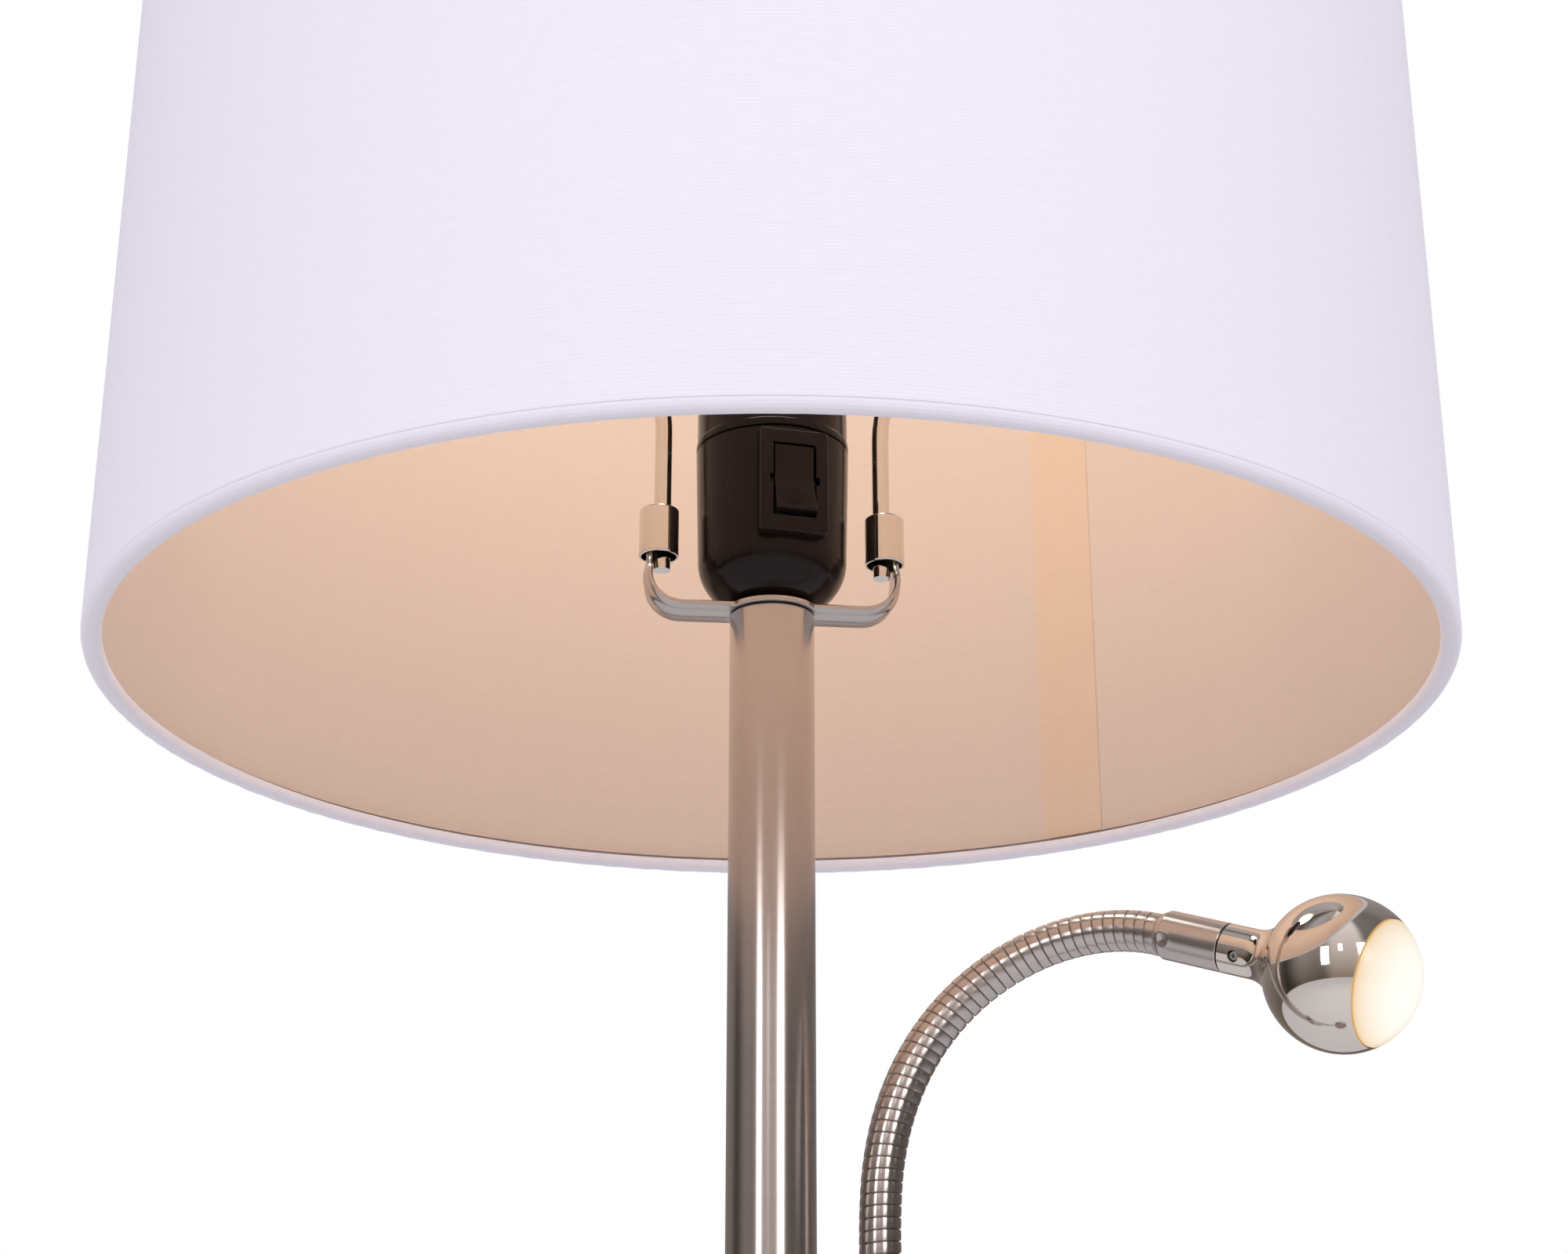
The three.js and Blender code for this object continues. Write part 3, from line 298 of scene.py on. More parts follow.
@dataclass(frozen=True)
class CastMetal:
    """Rough or plated metal with a grain and blotches."""

    name: str
    dark: Colour
    light: Colour
    metallic: float = 1.0
    roughness: tuple[float, float] = (0.35, 0.6)
    grain: float = 1200.0
    relief: float = 0.03 * MM

    def material(self) -> bpy.types.Material:
        """Makes the material.

        Returns:
            The material.
        """
        s = Shader(self.name)
        s.surface(Metallic=self.metallic)
        place = s.object_coords()
        blotch = s.noise(place, 140.0, 5.0)
        grain = s.noise(place, self.grain, 3.0)
        s.surface(Base_Color=s.blend(blotch, self.dark, self.light))
        s.surface(Roughness=s.remap(grain, (0.3, 0.7), self.roughness))
        s.bump(grain, 0.5, self.relief)
        return s.material


@dataclass(frozen=True)
class MouldedPlastic:
    """Moulded plastic or rubber with flow marks and a fine skin."""

    name: str
    dark: Colour
    light: Colour
    roughness: tuple[float, float] = (0.3, 0.45)
    skin: float = 1600.0
    relief: float = 0.01 * MM
    shine: float = 0.5

    def material(self) -> bpy.types.Material:
        """Makes the material.

        Returns:
            The material.
        """
        s = Shader(self.name)
        s.surface(Specular_IOR_Level=self.shine)
        place = s.object_coords()
        flow = s.noise(s.scaled(place, (1.0, 1.0, 0.35)), 120.0, 4.0)
        skin = s.noise(place, self.skin, 2.0)
        s.surface(Base_Color=s.blend(flow, self.dark, self.light))
        s.surface(Roughness=s.remap(flow, (0.3, 0.7), self.roughness))
        s.bump(skin, 0.35, self.relief)
        s.bump(flow, 0.25, 8 * self.relief)
        return s.material


@dataclass(frozen=True)
class ShadeCloth:
    """Plain-woven shade fabric: slubby ribs across, finer threads up and down, its low parts painted darker
    as shade.
    """

    name: str
    dark: Colour
    light: Colour
    rib: float = 0.75 * MM
    thread: float = 0.48 * MM
    relief: float = 0.09 * MM
    sheen: float = 0.25
    seam: Colour = (1.0, 1.0, 1.0)

    def material(self) -> bpy.types.Material:
        """Makes the material.

        Returns:
            The material.
        """
        s = Shader(self.name)
        s.surface(Sheen_Weight=self.sheen, Sheen_Roughness=0.5, Roughness=0.92, Specular_IOR_Level=0.2)
        uv = s.uv()
        along, up, _ = s.separate(uv)
        wander = s.math("MULTIPLY", s.noise(s.scaled(uv, (60.0, 400.0, 1.0)), 1.0, 2.0), 2.2)
        ribs = s.math("SINE", s.math("ADD", s.math("MULTIPLY", up, math.tau / self.rib), wander))
        threads = s.math("SINE", s.math("ADD", s.math("MULTIPLY", along, math.tau / self.thread), wander))
        slub = s.noise(s.scaled(uv, (180.0, 1500.0, 1.0)), 1.0, 3.0)
        weave = s.math("ADD", s.math("MULTIPLY", ribs, 0.3), s.math("MULTIPLY", threads, 0.14))
        height = s.math("ADD", weave, slub)
        # Colour follows the weave's height: its low parts are painted darker as shade, and the slubs add the
        # yarn's own uneven tone.
        woven = s.blend(s.remap(height, (0.0, 1.1), (0.0, 1.0)), self.dark, self.light)
        s.surface(Base_Color=s.multiplied(woven, (*self.seam, 1.0), s.attribute("band", "Fac")))
        s.bump(height, 0.55, self.relief)
        return s.material


@dataclass(frozen=True)
class LitSurface:
    """A frosted cover lit from behind: whitest along its axis, warmer towards the rim."""

    name: str
    rim: Colour
    middle: Colour
    strength: tuple[float, float]
    body: float = 0.12
    reach: float = 0.4
    swell: float = 1.0

    def material(self) -> bpy.types.Material:
        """Makes the material.

        Returns:
            The material.
        """
        s = Shader(self.name)
        s.surface(Roughness=0.35, Base_Color=(self.body, self.body, self.body, 1.0), Coat_Weight=0.3)
        height = s.separate(s.attribute("lay"))[2]
        glow = s.math("POWER", s.remap(height, (0.0, self.reach), (0.0, 1.0)), self.swell)
        s.surface(Emission_Color=s.blend(glow, self.rim, self.middle))
        s.surface(Emission_Strength=s.remap(glow, (0.0, 1.0), self.strength))
        s.bump(s.noise(s.object_coords(), 900.0, 2.0), 0.15, 0.02 * MM)
        return s.material


FINISHES = {
    Slot.NICKEL: BrushedMetal("brushed_nickel", (0.52, 0.478, 0.45), (0.67, 0.622, 0.592)),
    Slot.CHROME: PolishedMetal("bright_chrome", (0.84, 0.79, 0.72)),
    Slot.STEEL: CastMetal("plated_steel", (0.42, 0.42, 0.41), (0.6, 0.6, 0.58), relief=0.008 * MM),
    Slot.IRON: CastMetal(
        "cast_iron", (0.02, 0.02, 0.022), (0.06, 0.06, 0.062), 0.5, (0.6, 0.85), grain=700.0, relief=0.2 * MM
    ),
    Slot.BRASS: CastMetal(
        "machined_brass", (0.45, 0.30, 0.12), (0.62, 0.44, 0.2), 1.0, (0.2, 0.35), 2200.0, 0.006 * MM
    ),
    Slot.ALUMINIUM: CastMetal(
        "bulb_aluminium", (0.5, 0.51, 0.52), (0.66, 0.67, 0.68), 1.0, (0.3, 0.45), 2000.0, 0.006 * MM
    ),
    Slot.PHENOLIC: MouldedPlastic(
        "black_phenolic",
        (0.0075, 0.0042, 0.0036),
        (0.0145, 0.0085, 0.0073),
        (0.12, 0.24),
        skin=700.0,
        relief=0.004 * MM,
        shine=0.22,
    ),
    Slot.PLASTIC: MouldedPlastic("white_plastic", (0.68, 0.66, 0.62), (0.8, 0.78, 0.74)),
    Slot.RUBBER: MouldedPlastic(
        "dark_foam", (0.012, 0.012, 0.012), (0.03, 0.03, 0.03), (0.75, 0.92), skin=1100.0, relief=0.12 * MM
    ),
    Slot.FABRIC: ShadeCloth("white_shade_cloth", (0.87, 0.845, 0.92), (0.93, 0.905, 0.98), relief=0.05 * MM),
    # The liner's beige is partly its own tone and partly painted warm light from the lit bulb inside the
    # shade.
    Slot.LINER: ShadeCloth(
        "shade_liner",
        (0.74, 0.60, 0.52),
        (0.80, 0.655, 0.575),
        relief=0.03 * MM,
        sheen=0.0,
        seam=(1.04, 0.97, 0.86),
    ),
    Slot.BULB: LitSurface("lit_bulb", (1.0, 0.81, 0.58), (1.0, 0.915, 0.745), (6.2, 8.3)),
    Slot.LENS: LitSurface(
        "lit_lens", (1.0, 0.62, 0.22), (1.0, 0.975, 0.90), (0.72, 1.04), body=0.05, reach=1.0, swell=0.33
    ),
    Slot.BOARD: MouldedPlastic("led_board", (0.7, 0.7, 0.68), (0.85, 0.85, 0.83)),
}


class FinishBook:
    """Makes each finish once and dresses pieces with it."""

    def __init__(self) -> None:
        """Builds every material."""
        self.made = {slot: finish.material() for slot, finish in FINISHES.items()}

    def dress(self, piece: bpy.types.Object, slot: Slot) -> bpy.types.Object:
        """Gives a piece its slot's material.

        Args:
            piece: the object to dress.
            slot: the record's material slot.

        Returns:
            The same object.
        """
        piece.data.materials.clear()
        piece.data.materials.append(self.made[slot])
        return piece

    def dress_frame(self) -> None:
        """Gives every CAD node the finish of its slot."""
        slots = {part["node"]: part["material_slot"] for part in frame["record"]["subparts"]}
        for name, node in frame["nodes"].items():
            self.dress(node, Slot(slots[name]))


# ---- Mesh building --------------------------------------------------------------------------------


def arc(r: float, z: float, radius: float, start: float, end: float, steps: int) -> Outline:
    """Points of an arc about (r, z).

    Args:
        r: radius of the arc's centre from the axis.
        z: height of the arc's centre.
        radius: the arc's own radius.
        start: first angle, in degrees.
        end: last angle, in degrees.
        steps: number of chords.

    Returns:
        The points, both ends included.
    """
    angles = (math.radians(start + (end - start) * i / steps) for i in range(steps + 1))
    return [(r + radius * math.cos(a), z + radius * math.sin(a)) for a in angles]


def polar(radius: float, angle: float, height: float = 0.0) -> Vector:
    """A point at a radius and an angle about the axis, in radians, and at a height."""
    return Vector((radius * math.cos(angle), radius * math.sin(angle), height))


def bezier(controls: Sequence[Vector], steps: int) -> list[Vector]:
    """Points of a Bezier curve.

    Args:
        controls: its control points.
        steps: number of chords.

    Returns:
        The points, without the last one.
    """
    order = len(controls) - 1
    points = []
    for t in (i / steps for i in range(steps)):
        point = controls[0] * (1 - t) ** order
        for i, control in enumerate(controls[1:], 1):
            point += control * (math.comb(order, i) * t**i * (1 - t) ** (order - i))
        points.append(point)
    return points


def softened(outline: Outline, radius: float, steps: int = 3) -> Outline:
    """Rounds the corners of a closed outline.

    Args:
        outline: the corners, in order.
        radius: how far along each side the rounding starts.
        steps: chords in each rounding.

    Returns:
        The rounded outline. Corners on the axis and nearly straight ones stay.
    """
    rounded: Outline = []
    straight, most = math.radians(155), 0.45
    for i, (r, z) in enumerate(outline):
        corner = Vector((r, z))
        before, after = (Vector(outline[j % len(outline)]) - corner for j in (i - 1, i + 1))
        if r < NEAR_AXIS or not before.length or not after.length or before.angle(after) > straight:
            rounded.append((r, z))
            continue
        reach = min(radius, most * before.length, most * after.length)
        start, end = corner + before.normalized() * reach, corner + after.normalized() * reach
        rounded += [tuple(point) for point in [*bezier((start, corner, end), steps), end]]
    return rounded


def rod(radius: float, low: float, high: float) -> Outline:
    """Outline of a solid rod."""
    return [(0.0, low), (radius, low), (radius, high), (0.0, high)]


def tube(outer: float, inner: float, low: float, high: float, soft: float) -> Outline:
    """Outline of a tube's wall with rounded edges."""
    return softened([(inner, low), (outer, low), (outer, high), (inner, high)], soft)


def coordinates(mesh: bpy.types.Mesh) -> np.ndarray:
    """Reads a mesh's vertices.

    Args:
        mesh: the mesh.

    Returns:
        Their positions, one row each.
    """
    positions = np.zeros(len(mesh.vertices) * 3)
    mesh.vertices.foreach_get("co", positions)
    return positions.reshape(-1, 3)


def write_lay(mesh: bpy.types.Mesh, lay: np.ndarray) -> None:
    """Writes a mesh's lay attribute, which says where each vertex lies along and round the brushing.

    Args:
        mesh: the mesh.
        lay: three values for each vertex.
    """
    attribute = mesh.attributes.get("lay") or mesh.attributes.new("lay", "FLOAT_VECTOR", "POINT")
    attribute.data.foreach_set("vector", lay.astype(np.float32).ravel())


def linked(name: str, data: bpy.types.ID) -> bpy.types.Object:
    """Makes an object in the scene.

    Args:
        name: its name.
        data: its mesh, curve, light or camera.

    Returns:
        The object.
    """
    made = bpy.data.objects.new(name, data)
    bpy.context.scene.collection.objects.link(made)
    return made


def mesh_object(name: str, points: np.ndarray, faces: list, uvs: list, lay: np.ndarray) -> bpy.types.Object:
    """Makes a mesh object with its UV map and its lay attribute.

    Args:
        name: the object's name.
        points: vertex positions, one row each.
        faces: tuples of vertex numbers.
        uvs: one (u, v) for each corner of each face, in order.
        lay: the brushing direction's coordinates, one row for each vertex.

    Returns:
        The new object, linked to the scene.
    """
    mesh = bpy.data.meshes.new(name)
    mesh.from_pydata([tuple(p) for p in points], [], faces)
    layer = mesh.uv_layers.new(name="UVMap")
    layer.data.foreach_set("uv", np.array(uvs, np.float32).ravel())
    write_lay(mesh, np.array(lay))
    mesh.shade_smooth()
    mesh.set_sharp_from_angle(angle=CREASE)
    mesh.update()
    return linked(name, mesh)


def turned(name: str, outline: Outline, sides: int = 72, place: Matrix | None = None) -> bpy.types.Object:
    """Turns a closed outline about Z.

    Args:
        name: the object's name.
        outline: (radius, height) points in metres, anticlockwise. It may start and end on the axis.
        sides: number of sides.
        place: where the turned piece goes; its axis is the matrix's Z.

    Returns:
        The new object, with its place in its mesh.
    """
    open_ended = max(outline[0][0], outline[-1][0]) < NEAR_AXIS
    lengths = [0.0]
    for (r0, z0), (r1, z1) in zip(outline, outline[1:]):
        lengths.append(lengths[-1] + math.hypot(r1 - r0, z1 - z0))
    widest = max(r for r, _ in outline)
    points, lay, rows = [], [], []
    for (r, z), s in zip(outline, lengths):
        if r < NEAR_AXIS:
            rows.append([len(points)] * (sides + 1))
            points.append((0.0, 0.0, z))
            lay.append((0.0, 0.0, s))
            continue
        first = len(points)
        for i in range(sides):
            a = math.tau * i / sides
            points.append((r * math.cos(a), r * math.sin(a), z))
            lay.append((math.cos(a), math.sin(a), s))
        rows.append([first + i % sides for i in range(sides + 1)])
    faces, uvs = [], []
    spans = len(outline) - 1 if open_ended else len(outline)
    for j in range(spans):
        low, high = rows[j], rows[(j + 1) % len(rows)]
        v0 = lengths[j]
        v1 = lengths[j + 1] if j + 1 < len(lengths) else lengths[j] + math.dist(outline[j], outline[0])
        for i in range(sides):
            u0, u1 = (math.tau * widest * k / sides for k in (i, i + 1))
            ends = (low[i], (u0, v0)), (low[i + 1], (u1, v0)), (high[i + 1], (u1, v1)), (high[i], (u0, v1))
            kept = [end for n, end in enumerate(ends) if end[0] != ends[n - 1][0]]
            if len(kept) > 2:
                faces.append(tuple(vertex for vertex, _ in kept))
                uvs.extend(uv for _, uv in kept)
    array = np.array(points)
    if place is not None:
        array = array @ np.array(place.to_3x3()).T + np.array(place.translation)
    return mesh_object(name, array, faces, uvs, np.array(lay))


def extruded(name: str, outline: Outline, depth: float, soft: float, place: Matrix) -> bpy.types.Object:
    """Extrudes a closed outline along Z with rounded edges.

    Args:
        name: the object's name.
        outline: (x, y) points, anticlockwise.
        depth: the extrusion's length, centred on the outline's plane.
        soft: the edge rounding.
        place: where the piece goes.

    Returns:
        The new object.
    """
    mesh = bpy.data.meshes.new(name)
    half = depth / 2
    count = len(outline)
    points = [(x, y, z) for z in (-half, half) for x, y in outline]
    faces = [tuple(reversed(range(count))), tuple(range(count, 2 * count))]
    faces += [(i, (i + 1) % count, count + (i + 1) % count, count + i) for i in range(count)]
    mesh.from_pydata(points, [], faces)
    made = linked(name, mesh)
    if soft > 0:
        bevel = made.modifiers.new("edges", "BEVEL")
        bevel.width, bevel.segments, bevel.limit_method = soft, 3, "ANGLE"
        bevel.angle_limit = math.radians(40)
    return baked(made, place)


def baked(piece: bpy.types.Object, place: Matrix | None = None) -> bpy.types.Object:
    """Turns a piece's modifiers into plain mesh, puts it in place and shades it.

    Args:
        piece: the object to settle.
        place: a matrix to apply to the mesh.

    Returns:
        The same object, without modifiers, at the origin.
    """
    bpy.context.view_layer.update()
    graph = bpy.context.evaluated_depsgraph_get()
    settled = piece.evaluated_get(graph)
    mesh = bpy.data.meshes.new_from_object(settled, preserve_all_data_layers=True, depsgraph=graph)
    piece.modifiers.clear()
    piece.data = mesh
    mesh.name = piece.name
    if place is not None:
        mesh.transform(place)
    mesh.shade_smooth()
    mesh.set_sharp_from_angle(angle=CREASE)
    return piece


class Cut(str, Enum):
    """How a second solid changes the first."""

    ADD = "UNION"
    TAKE = "DIFFERENCE"
    SHARE = "INTERSECT"


def combined(piece: bpy.types.Object, other: bpy.types.Object, cut: Cut) -> bpy.types.Object:
    """Joins another solid to a piece, or cuts it away or to it, and deletes the other.

    Args:
        piece: the object that stays.
        other: the object that is used up.
        cut: what the other does to the piece.

    Returns:
        The piece.
    """
    modifier = piece.modifiers.new("cut", "BOOLEAN")
    modifier.object, modifier.operation, modifier.solver = other, cut.value, "EXACT"
    baked(piece)
    bpy.data.objects.remove(other)
    return piece


def drilled(
    piece: bpy.types.Object, radius: float, low: float, high: float, sides: int, place: Matrix
) -> None:
    """Drills a round hole.

    Args:
        piece: the object to drill.
        radius: the hole's radius.
        low: where the drill starts along its axis.
        high: where it ends.
        sides: number of sides of the hole.
        place: the drill's place; its axis is the matrix's Z.
    """
    combined(piece, turned("drill", rod(radius, low, high), sides, place), Cut.TAKE)


def fill_lay(piece: bpy.types.Object, axis: Matrix) -> bpy.types.Object:
    """Writes the brushing attribute and a UV map on a piece that wasn't turned.

    Args:
        piece: the object to write on.
        axis: a matrix whose Z is the axis that the brushing runs round.

    Returns:
        The same object.
    """
    mesh = piece.data
    positions = coordinates(mesh)
    x, y, z = (positions @ np.array(axis.inverted().to_3x3()).T + np.array(axis.inverted().translation)).T
    angle, radius = np.arctan2(y, x), np.hypot(x, y)
    write_lay(mesh, np.c_[np.cos(angle), np.sin(angle), z + radius])
    layer = mesh.uv_layers.get("UVMap") or mesh.uv_layers.new(name="UVMap")
    corners = np.zeros(len(mesh.loops), np.int32)
    mesh.loops.foreach_get("vertex_index", corners)
    uv = np.c_[angle * radius.max(), z + radius][corners].astype(np.float32)
    layer.data.foreach_set("uv", uv.ravel())
    return piece


def set_glow(piece: bpy.types.Object, axis: Vector = UP) -> bpy.types.Object:
    """Writes how near each point is to a lit piece's crown, as the third value of its lay.

    Args:
        piece: the lit piece.
        axis: the direction of the crown.

    Returns:
        The same object.
    """
    height = coordinates(piece.data) @ np.array(axis.normalized())
    share = (height - height.min()) / (height.max() - height.min())
    write_lay(piece.data, np.c_[np.zeros((len(share), 2)), share])
    return piece


def facing(origin: Vector, along: Vector, side: Vector) -> Matrix:
    """A frame whose Z runs along one direction and whose X leans towards another.

    Args:
        origin: the frame's origin.
        along: its Z direction.
        side: the direction that its X is nearest to.

    Returns:
        The frame as a matrix.
    """
    z = along.normalized()
    x = (side - z * side.dot(z)).normalized()
    y = z.cross(x)
    turn = Matrix((x, y, z)).transposed().to_4x4()
    turn.translation = origin
    return turn


def middle(node: str) -> Vector:
    """Mean of a CAD node's vertices, which lies on the axis of a turned node."""
    mesh = frame["nodes"][node].data
    return sum((v.co for v in mesh.vertices), Vector()) / len(mesh.vertices)


def joint(name: str) -> dict:
    """The record's entry for a joint."""
    return next(j for j in frame["joints"] if j["name"] == name)


# ---- Geometry Nodes -------------------------------------------------------------------------------


class GeometryTree(NodeTree):
    """A Geometry Nodes tree with named inputs, run once on a host object."""

    def __init__(self, name: str, inputs: dict[str, str]) -> None:
        """Starts a tree.

        Args:
            name: the tree's name.
            inputs: the kind of value, such as Float, for each input name.
        """
        super().__init__(bpy.data.node_groups.new(name, "GeometryNodeTree"))
        face = self.tree.interface
        face.new_socket("Geometry", in_out="OUTPUT", socket_type="NodeSocketGeometry")
        self.ids = {}
        for label, kind in inputs.items():
            socket = face.new_socket(label, in_out="INPUT", socket_type="NodeSocket" + kind)
            self.ids[label] = socket.identifier
        self.entry = self.node("NodeGroupInput")
        self.exit = self.node("NodeGroupOutput")

    def given(self, label: str) -> bpy.types.NodeSocket:
        """Returns the output of a named input."""
        return self.entry.outputs[label]

    def path(self) -> bpy.types.NodeSocket:
        """Returns the curve of the helper object that the Path input names."""
        named = {"Object": self.given("Path")}
        return self.node("GeometryNodeObjectInfo", named, transform_space="RELATIVE").outputs["Geometry"]

    def finish(self, geometry: bpy.types.NodeSocket) -> None:
        """Ends the tree in Realize Instances and Set Material.

        Args:
            geometry: what the tree has made.
        """
        real = self.node("GeometryNodeRealizeInstances", {"Geometry": geometry})
        inputs = {"Geometry": real.outputs[0], "Material": self.given("Finish")}
        self.link(self.node("GeometryNodeSetMaterial", inputs).outputs[0], self.exit.inputs[0])

    def run(self, name: str, values: dict[str, object]) -> bpy.types.Object:
        """Runs the tree on an empty host.

        Args:
            name: the finished piece's name.
            values: a value for each named input.

        Returns:
            The piece as plain mesh, with no modifier.
        """
        host = linked(name, bpy.data.meshes.new(name))
        modifier = host.modifiers.new("build", "NODES")
        modifier.node_group = self.tree
        for label, value in values.items():
            modifier[self.ids[label]] = value
        return baked(host)


def curve_through(name: str, points: Sequence[Vector], closed: bool = False) -> bpy.types.Object:
    """Makes a helper curve through points, joined by straight chords.

    Args:
        name: the helper's name.
        points: the points, in order.
        closed: whether the last point joins the first.

    Returns:
        The helper object, which the caller removes.
    """
    data = bpy.data.curves.new(name, "CURVE")
    data.dimensions = "3D"
    spline = data.splines.new("POLY")
    spline.points.add(len(points) - 1)
    for slot, point in zip(spline.points, points):
        slot.co = (*point, 1.0)
    spline.use_cyclic_u = closed
    return linked(name, data)


def wire_tree() -> GeometryTree:
    """Builds the tree of a round wire that follows a path, with flat ends.

    Returns:
        The tree.
    """
    inputs = {"Path": "Object", "Radius": "Float", "Sides": "Int", "Finish": "Material"}
    g = GeometryTree("round_wire", inputs)
    size = {"Resolution": g.given("Sides"), "Radius": g.given("Radius")}
    section = g.node("GeometryNodeCurvePrimitiveCircle", size)
    sweep = {"Curve": g.path(), "Profile Curve": section.outputs["Curve"], "Fill Caps": True}
    g.finish(g.node("GeometryNodeCurveToMesh", sweep).outputs[0])
    return g


@dataclass
class Workshop:
    """What every sub-assembly builds with: the finishes and the Geometry Nodes trees."""

    book: FinishBook
    wires: GeometryTree

    def settle(self, piece: bpy.types.Object, slot: Slot, body: str, *replaced: str) -> bpy.types.Object:
        """Dresses a finished piece, hangs it on its body and reports it.

        Args:
            piece: the finished object.
            slot: the record's material slot.
            body: the CAD body it moves with.
            replaced: the CAD nodes that it stands for.

        Returns:
            The same object.
        """
        self.book.dress(piece, slot)
        if replaced:
            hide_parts(*replaced)
        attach(piece, body)
        log.info("%s: %d faces on %s", piece.name, len(piece.data.polygons), body)
        return piece

    def wire(
        self, name: str, points: Sequence[Vector], radius: float, slot: Slot, closed: bool = False
    ) -> bpy.types.Object:
        """Makes a round wire through points.

        Args:
            name: the wire's name.
            points: the wire's centre line.
            radius: the wire's radius.
            slot: its material slot.
            closed: whether it is a ring.

        Returns:
            The wire as plain mesh.
        """
        path = curve_through(name + "_path", points, closed)
        values = {"Path": path, "Radius": radius, "Sides": 20, "Finish": self.book.made[slot]}
        made = self.wires.run(name, values)
        bpy.data.objects.remove(path)
        return made

    def blended(self, piece: bpy.types.Object, slot: Slot, hinge: dict) -> bpy.types.Object:
        """Dresses a finished piece that lies across a joint and bakes its place into its mesh.

        Args:
            piece: the finished object.
            slot: the record's material slot.
            hinge: the joint that it crosses.

        Returns:
            The same object.
        """
        self.book.dress(piece, slot)
        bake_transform(piece)
        log.info("%s: %d faces across %s", piece.name, len(piece.data.polygons), hinge["name"])
        return piece


def gooseneck_tree(packing: float = 0.12) -> GeometryTree:
    """Builds the tree of a stretch of strip-wound tube, with the winding's gap as a helical groove.

    Args:
        packing: how much closer the rows of vertices stand at the groove.

    Returns:
        The tree.
    """
    whole = dict.fromkeys(("First Turn", "Turns", "Rows", "Sides"), "Int")
    lengths = dict.fromkeys(("Start", "End", "Pitch", "Radius", "Depth", "Crown", "Gap Share"), "Float")
    g = GeometryTree("strip_wound_tube", {"Path": "Object", **whole, **lengths, "Finish": "Material"})
    calc = g.math
    across = calc("ADD", g.given("Sides"), 1.0)
    along = calc("ADD", calc("MULTIPLY", g.given("Turns"), g.given("Rows")), 1.0)
    size = {"Size X": 1.0, "Size Y": 1.0, "Vertices X": across, "Vertices Y": along}
    grid = g.node("GeometryNodeMeshGrid", size)
    place = g.separate(g.node("GeometryNodeInputPosition").outputs[0])
    turn = calc("ADD", place["X"], 0.5)
    share = calc("ADD", place["Y"], 0.5)
    raw = calc("MULTIPLY", share, g.given("Turns"))
    warped = calc("SUBTRACT", raw, calc("MULTIPLY", calc("SINE", calc("MULTIPLY", raw, math.tau)), packing))
    turns = calc("ADD", calc("ADD", warped, g.given("First Turn")), turn)
    reach = calc("MULTIPLY", turns, g.given("Pitch"))
    held = calc("MINIMUM", calc("MAXIMUM", reach, g.given("Start")), g.given("End"))
    phase = calc("FRACT", calc("ADD", calc("SUBTRACT", calc("DIVIDE", held, g.given("Pitch")), turn), 100.0))
    nearness = calc("SUBTRACT", 0.5, calc("ABSOLUTE", calc("SUBTRACT", phase, 0.5)))
    fall = {"Value": nearness, "From Min": 0.0, "From Max": g.given("Gap Share")}
    fall |= {"To Min": 1.0, "To Max": 0.0}
    groove = g.node("ShaderNodeMapRange", fall, interpolation_type="SMOOTHSTEP").outputs[0]
    flat = calc("POWER", calc("SUBTRACT", 1.0, calc("MULTIPLY", nearness, 2.0)), 2.0)
    sunk = calc("SUBTRACT", g.given("Radius"), calc("MULTIPLY", groove, g.given("Depth")))
    crowned = calc("SUBTRACT", sunk, calc("MULTIPLY", flat, g.given("Crown")))
    inside = calc("MULTIPLY", calc("GREATER_THAN", share, 1e-5), calc("LESS_THAN", share, 1.0 - 1e-5))
    radius = calc("MULTIPLY", crowned, inside)
    spot = g.node("GeometryNodeSampleCurve", {"Curves": g.path(), "Length": held}, mode="LENGTH").outputs
    angle = calc("MULTIPLY", turn, math.tau)

    def vector(operation: str, inputs: dict) -> bpy.types.NodeSocket:
        """Adds a Vector Math node and returns its vector."""
        return g.node("ShaderNodeVectorMath", inputs, operation=operation).outputs[0]

    side = vector("CROSS_PRODUCT", {0: spot["Tangent"], 1: spot["Normal"]})
    reach_x, reach_y = (calc("MULTIPLY", radius, calc(way, angle)) for way in ("COSINE", "SINE"))
    first = vector("SCALE", {0: spot["Normal"], "Scale": reach_x})
    second = vector("SCALE", {0: side, "Scale": reach_y})
    point = vector("ADD", {0: vector("ADD", {0: first, 1: second}), 1: spot["Position"]})
    ring = calc("ADD", held, calc("MULTIPLY", phase, 0.3 * MM))
    lay = g.node("ShaderNodeCombineXYZ", {"X": calc("COSINE", angle), "Y": calc("SINE", angle), "Z": ring})
    flatmap = g.node("ShaderNodeCombineXYZ", {"X": calc("MULTIPLY", angle, g.given("Radius")), "Y": held})
    geometry = grid.outputs["Mesh"]
    for name, value, kind, domain in (
        ("lay", lay, "FLOAT_VECTOR", "POINT"),
        ("UVMap", flatmap, "FLOAT2", "CORNER"),
    ):
        stored = {"Geometry": geometry, "Name": name, "Value": value.outputs[0]}
        geometry = g.node("GeometryNodeStoreNamedAttribute", stored, data_type=kind, domain=domain).outputs[0]
    moved = g.node("GeometryNodeSetPosition", {"Geometry": geometry, "Position": point})
    joined = g.node("GeometryNodeMergeByDistance", {"Geometry": moved.outputs[0], "Distance": 1e-6})
    g.finish(joined.outputs[0])
    return g


# ---- Base and pole --------------------------------------------------------------------------------


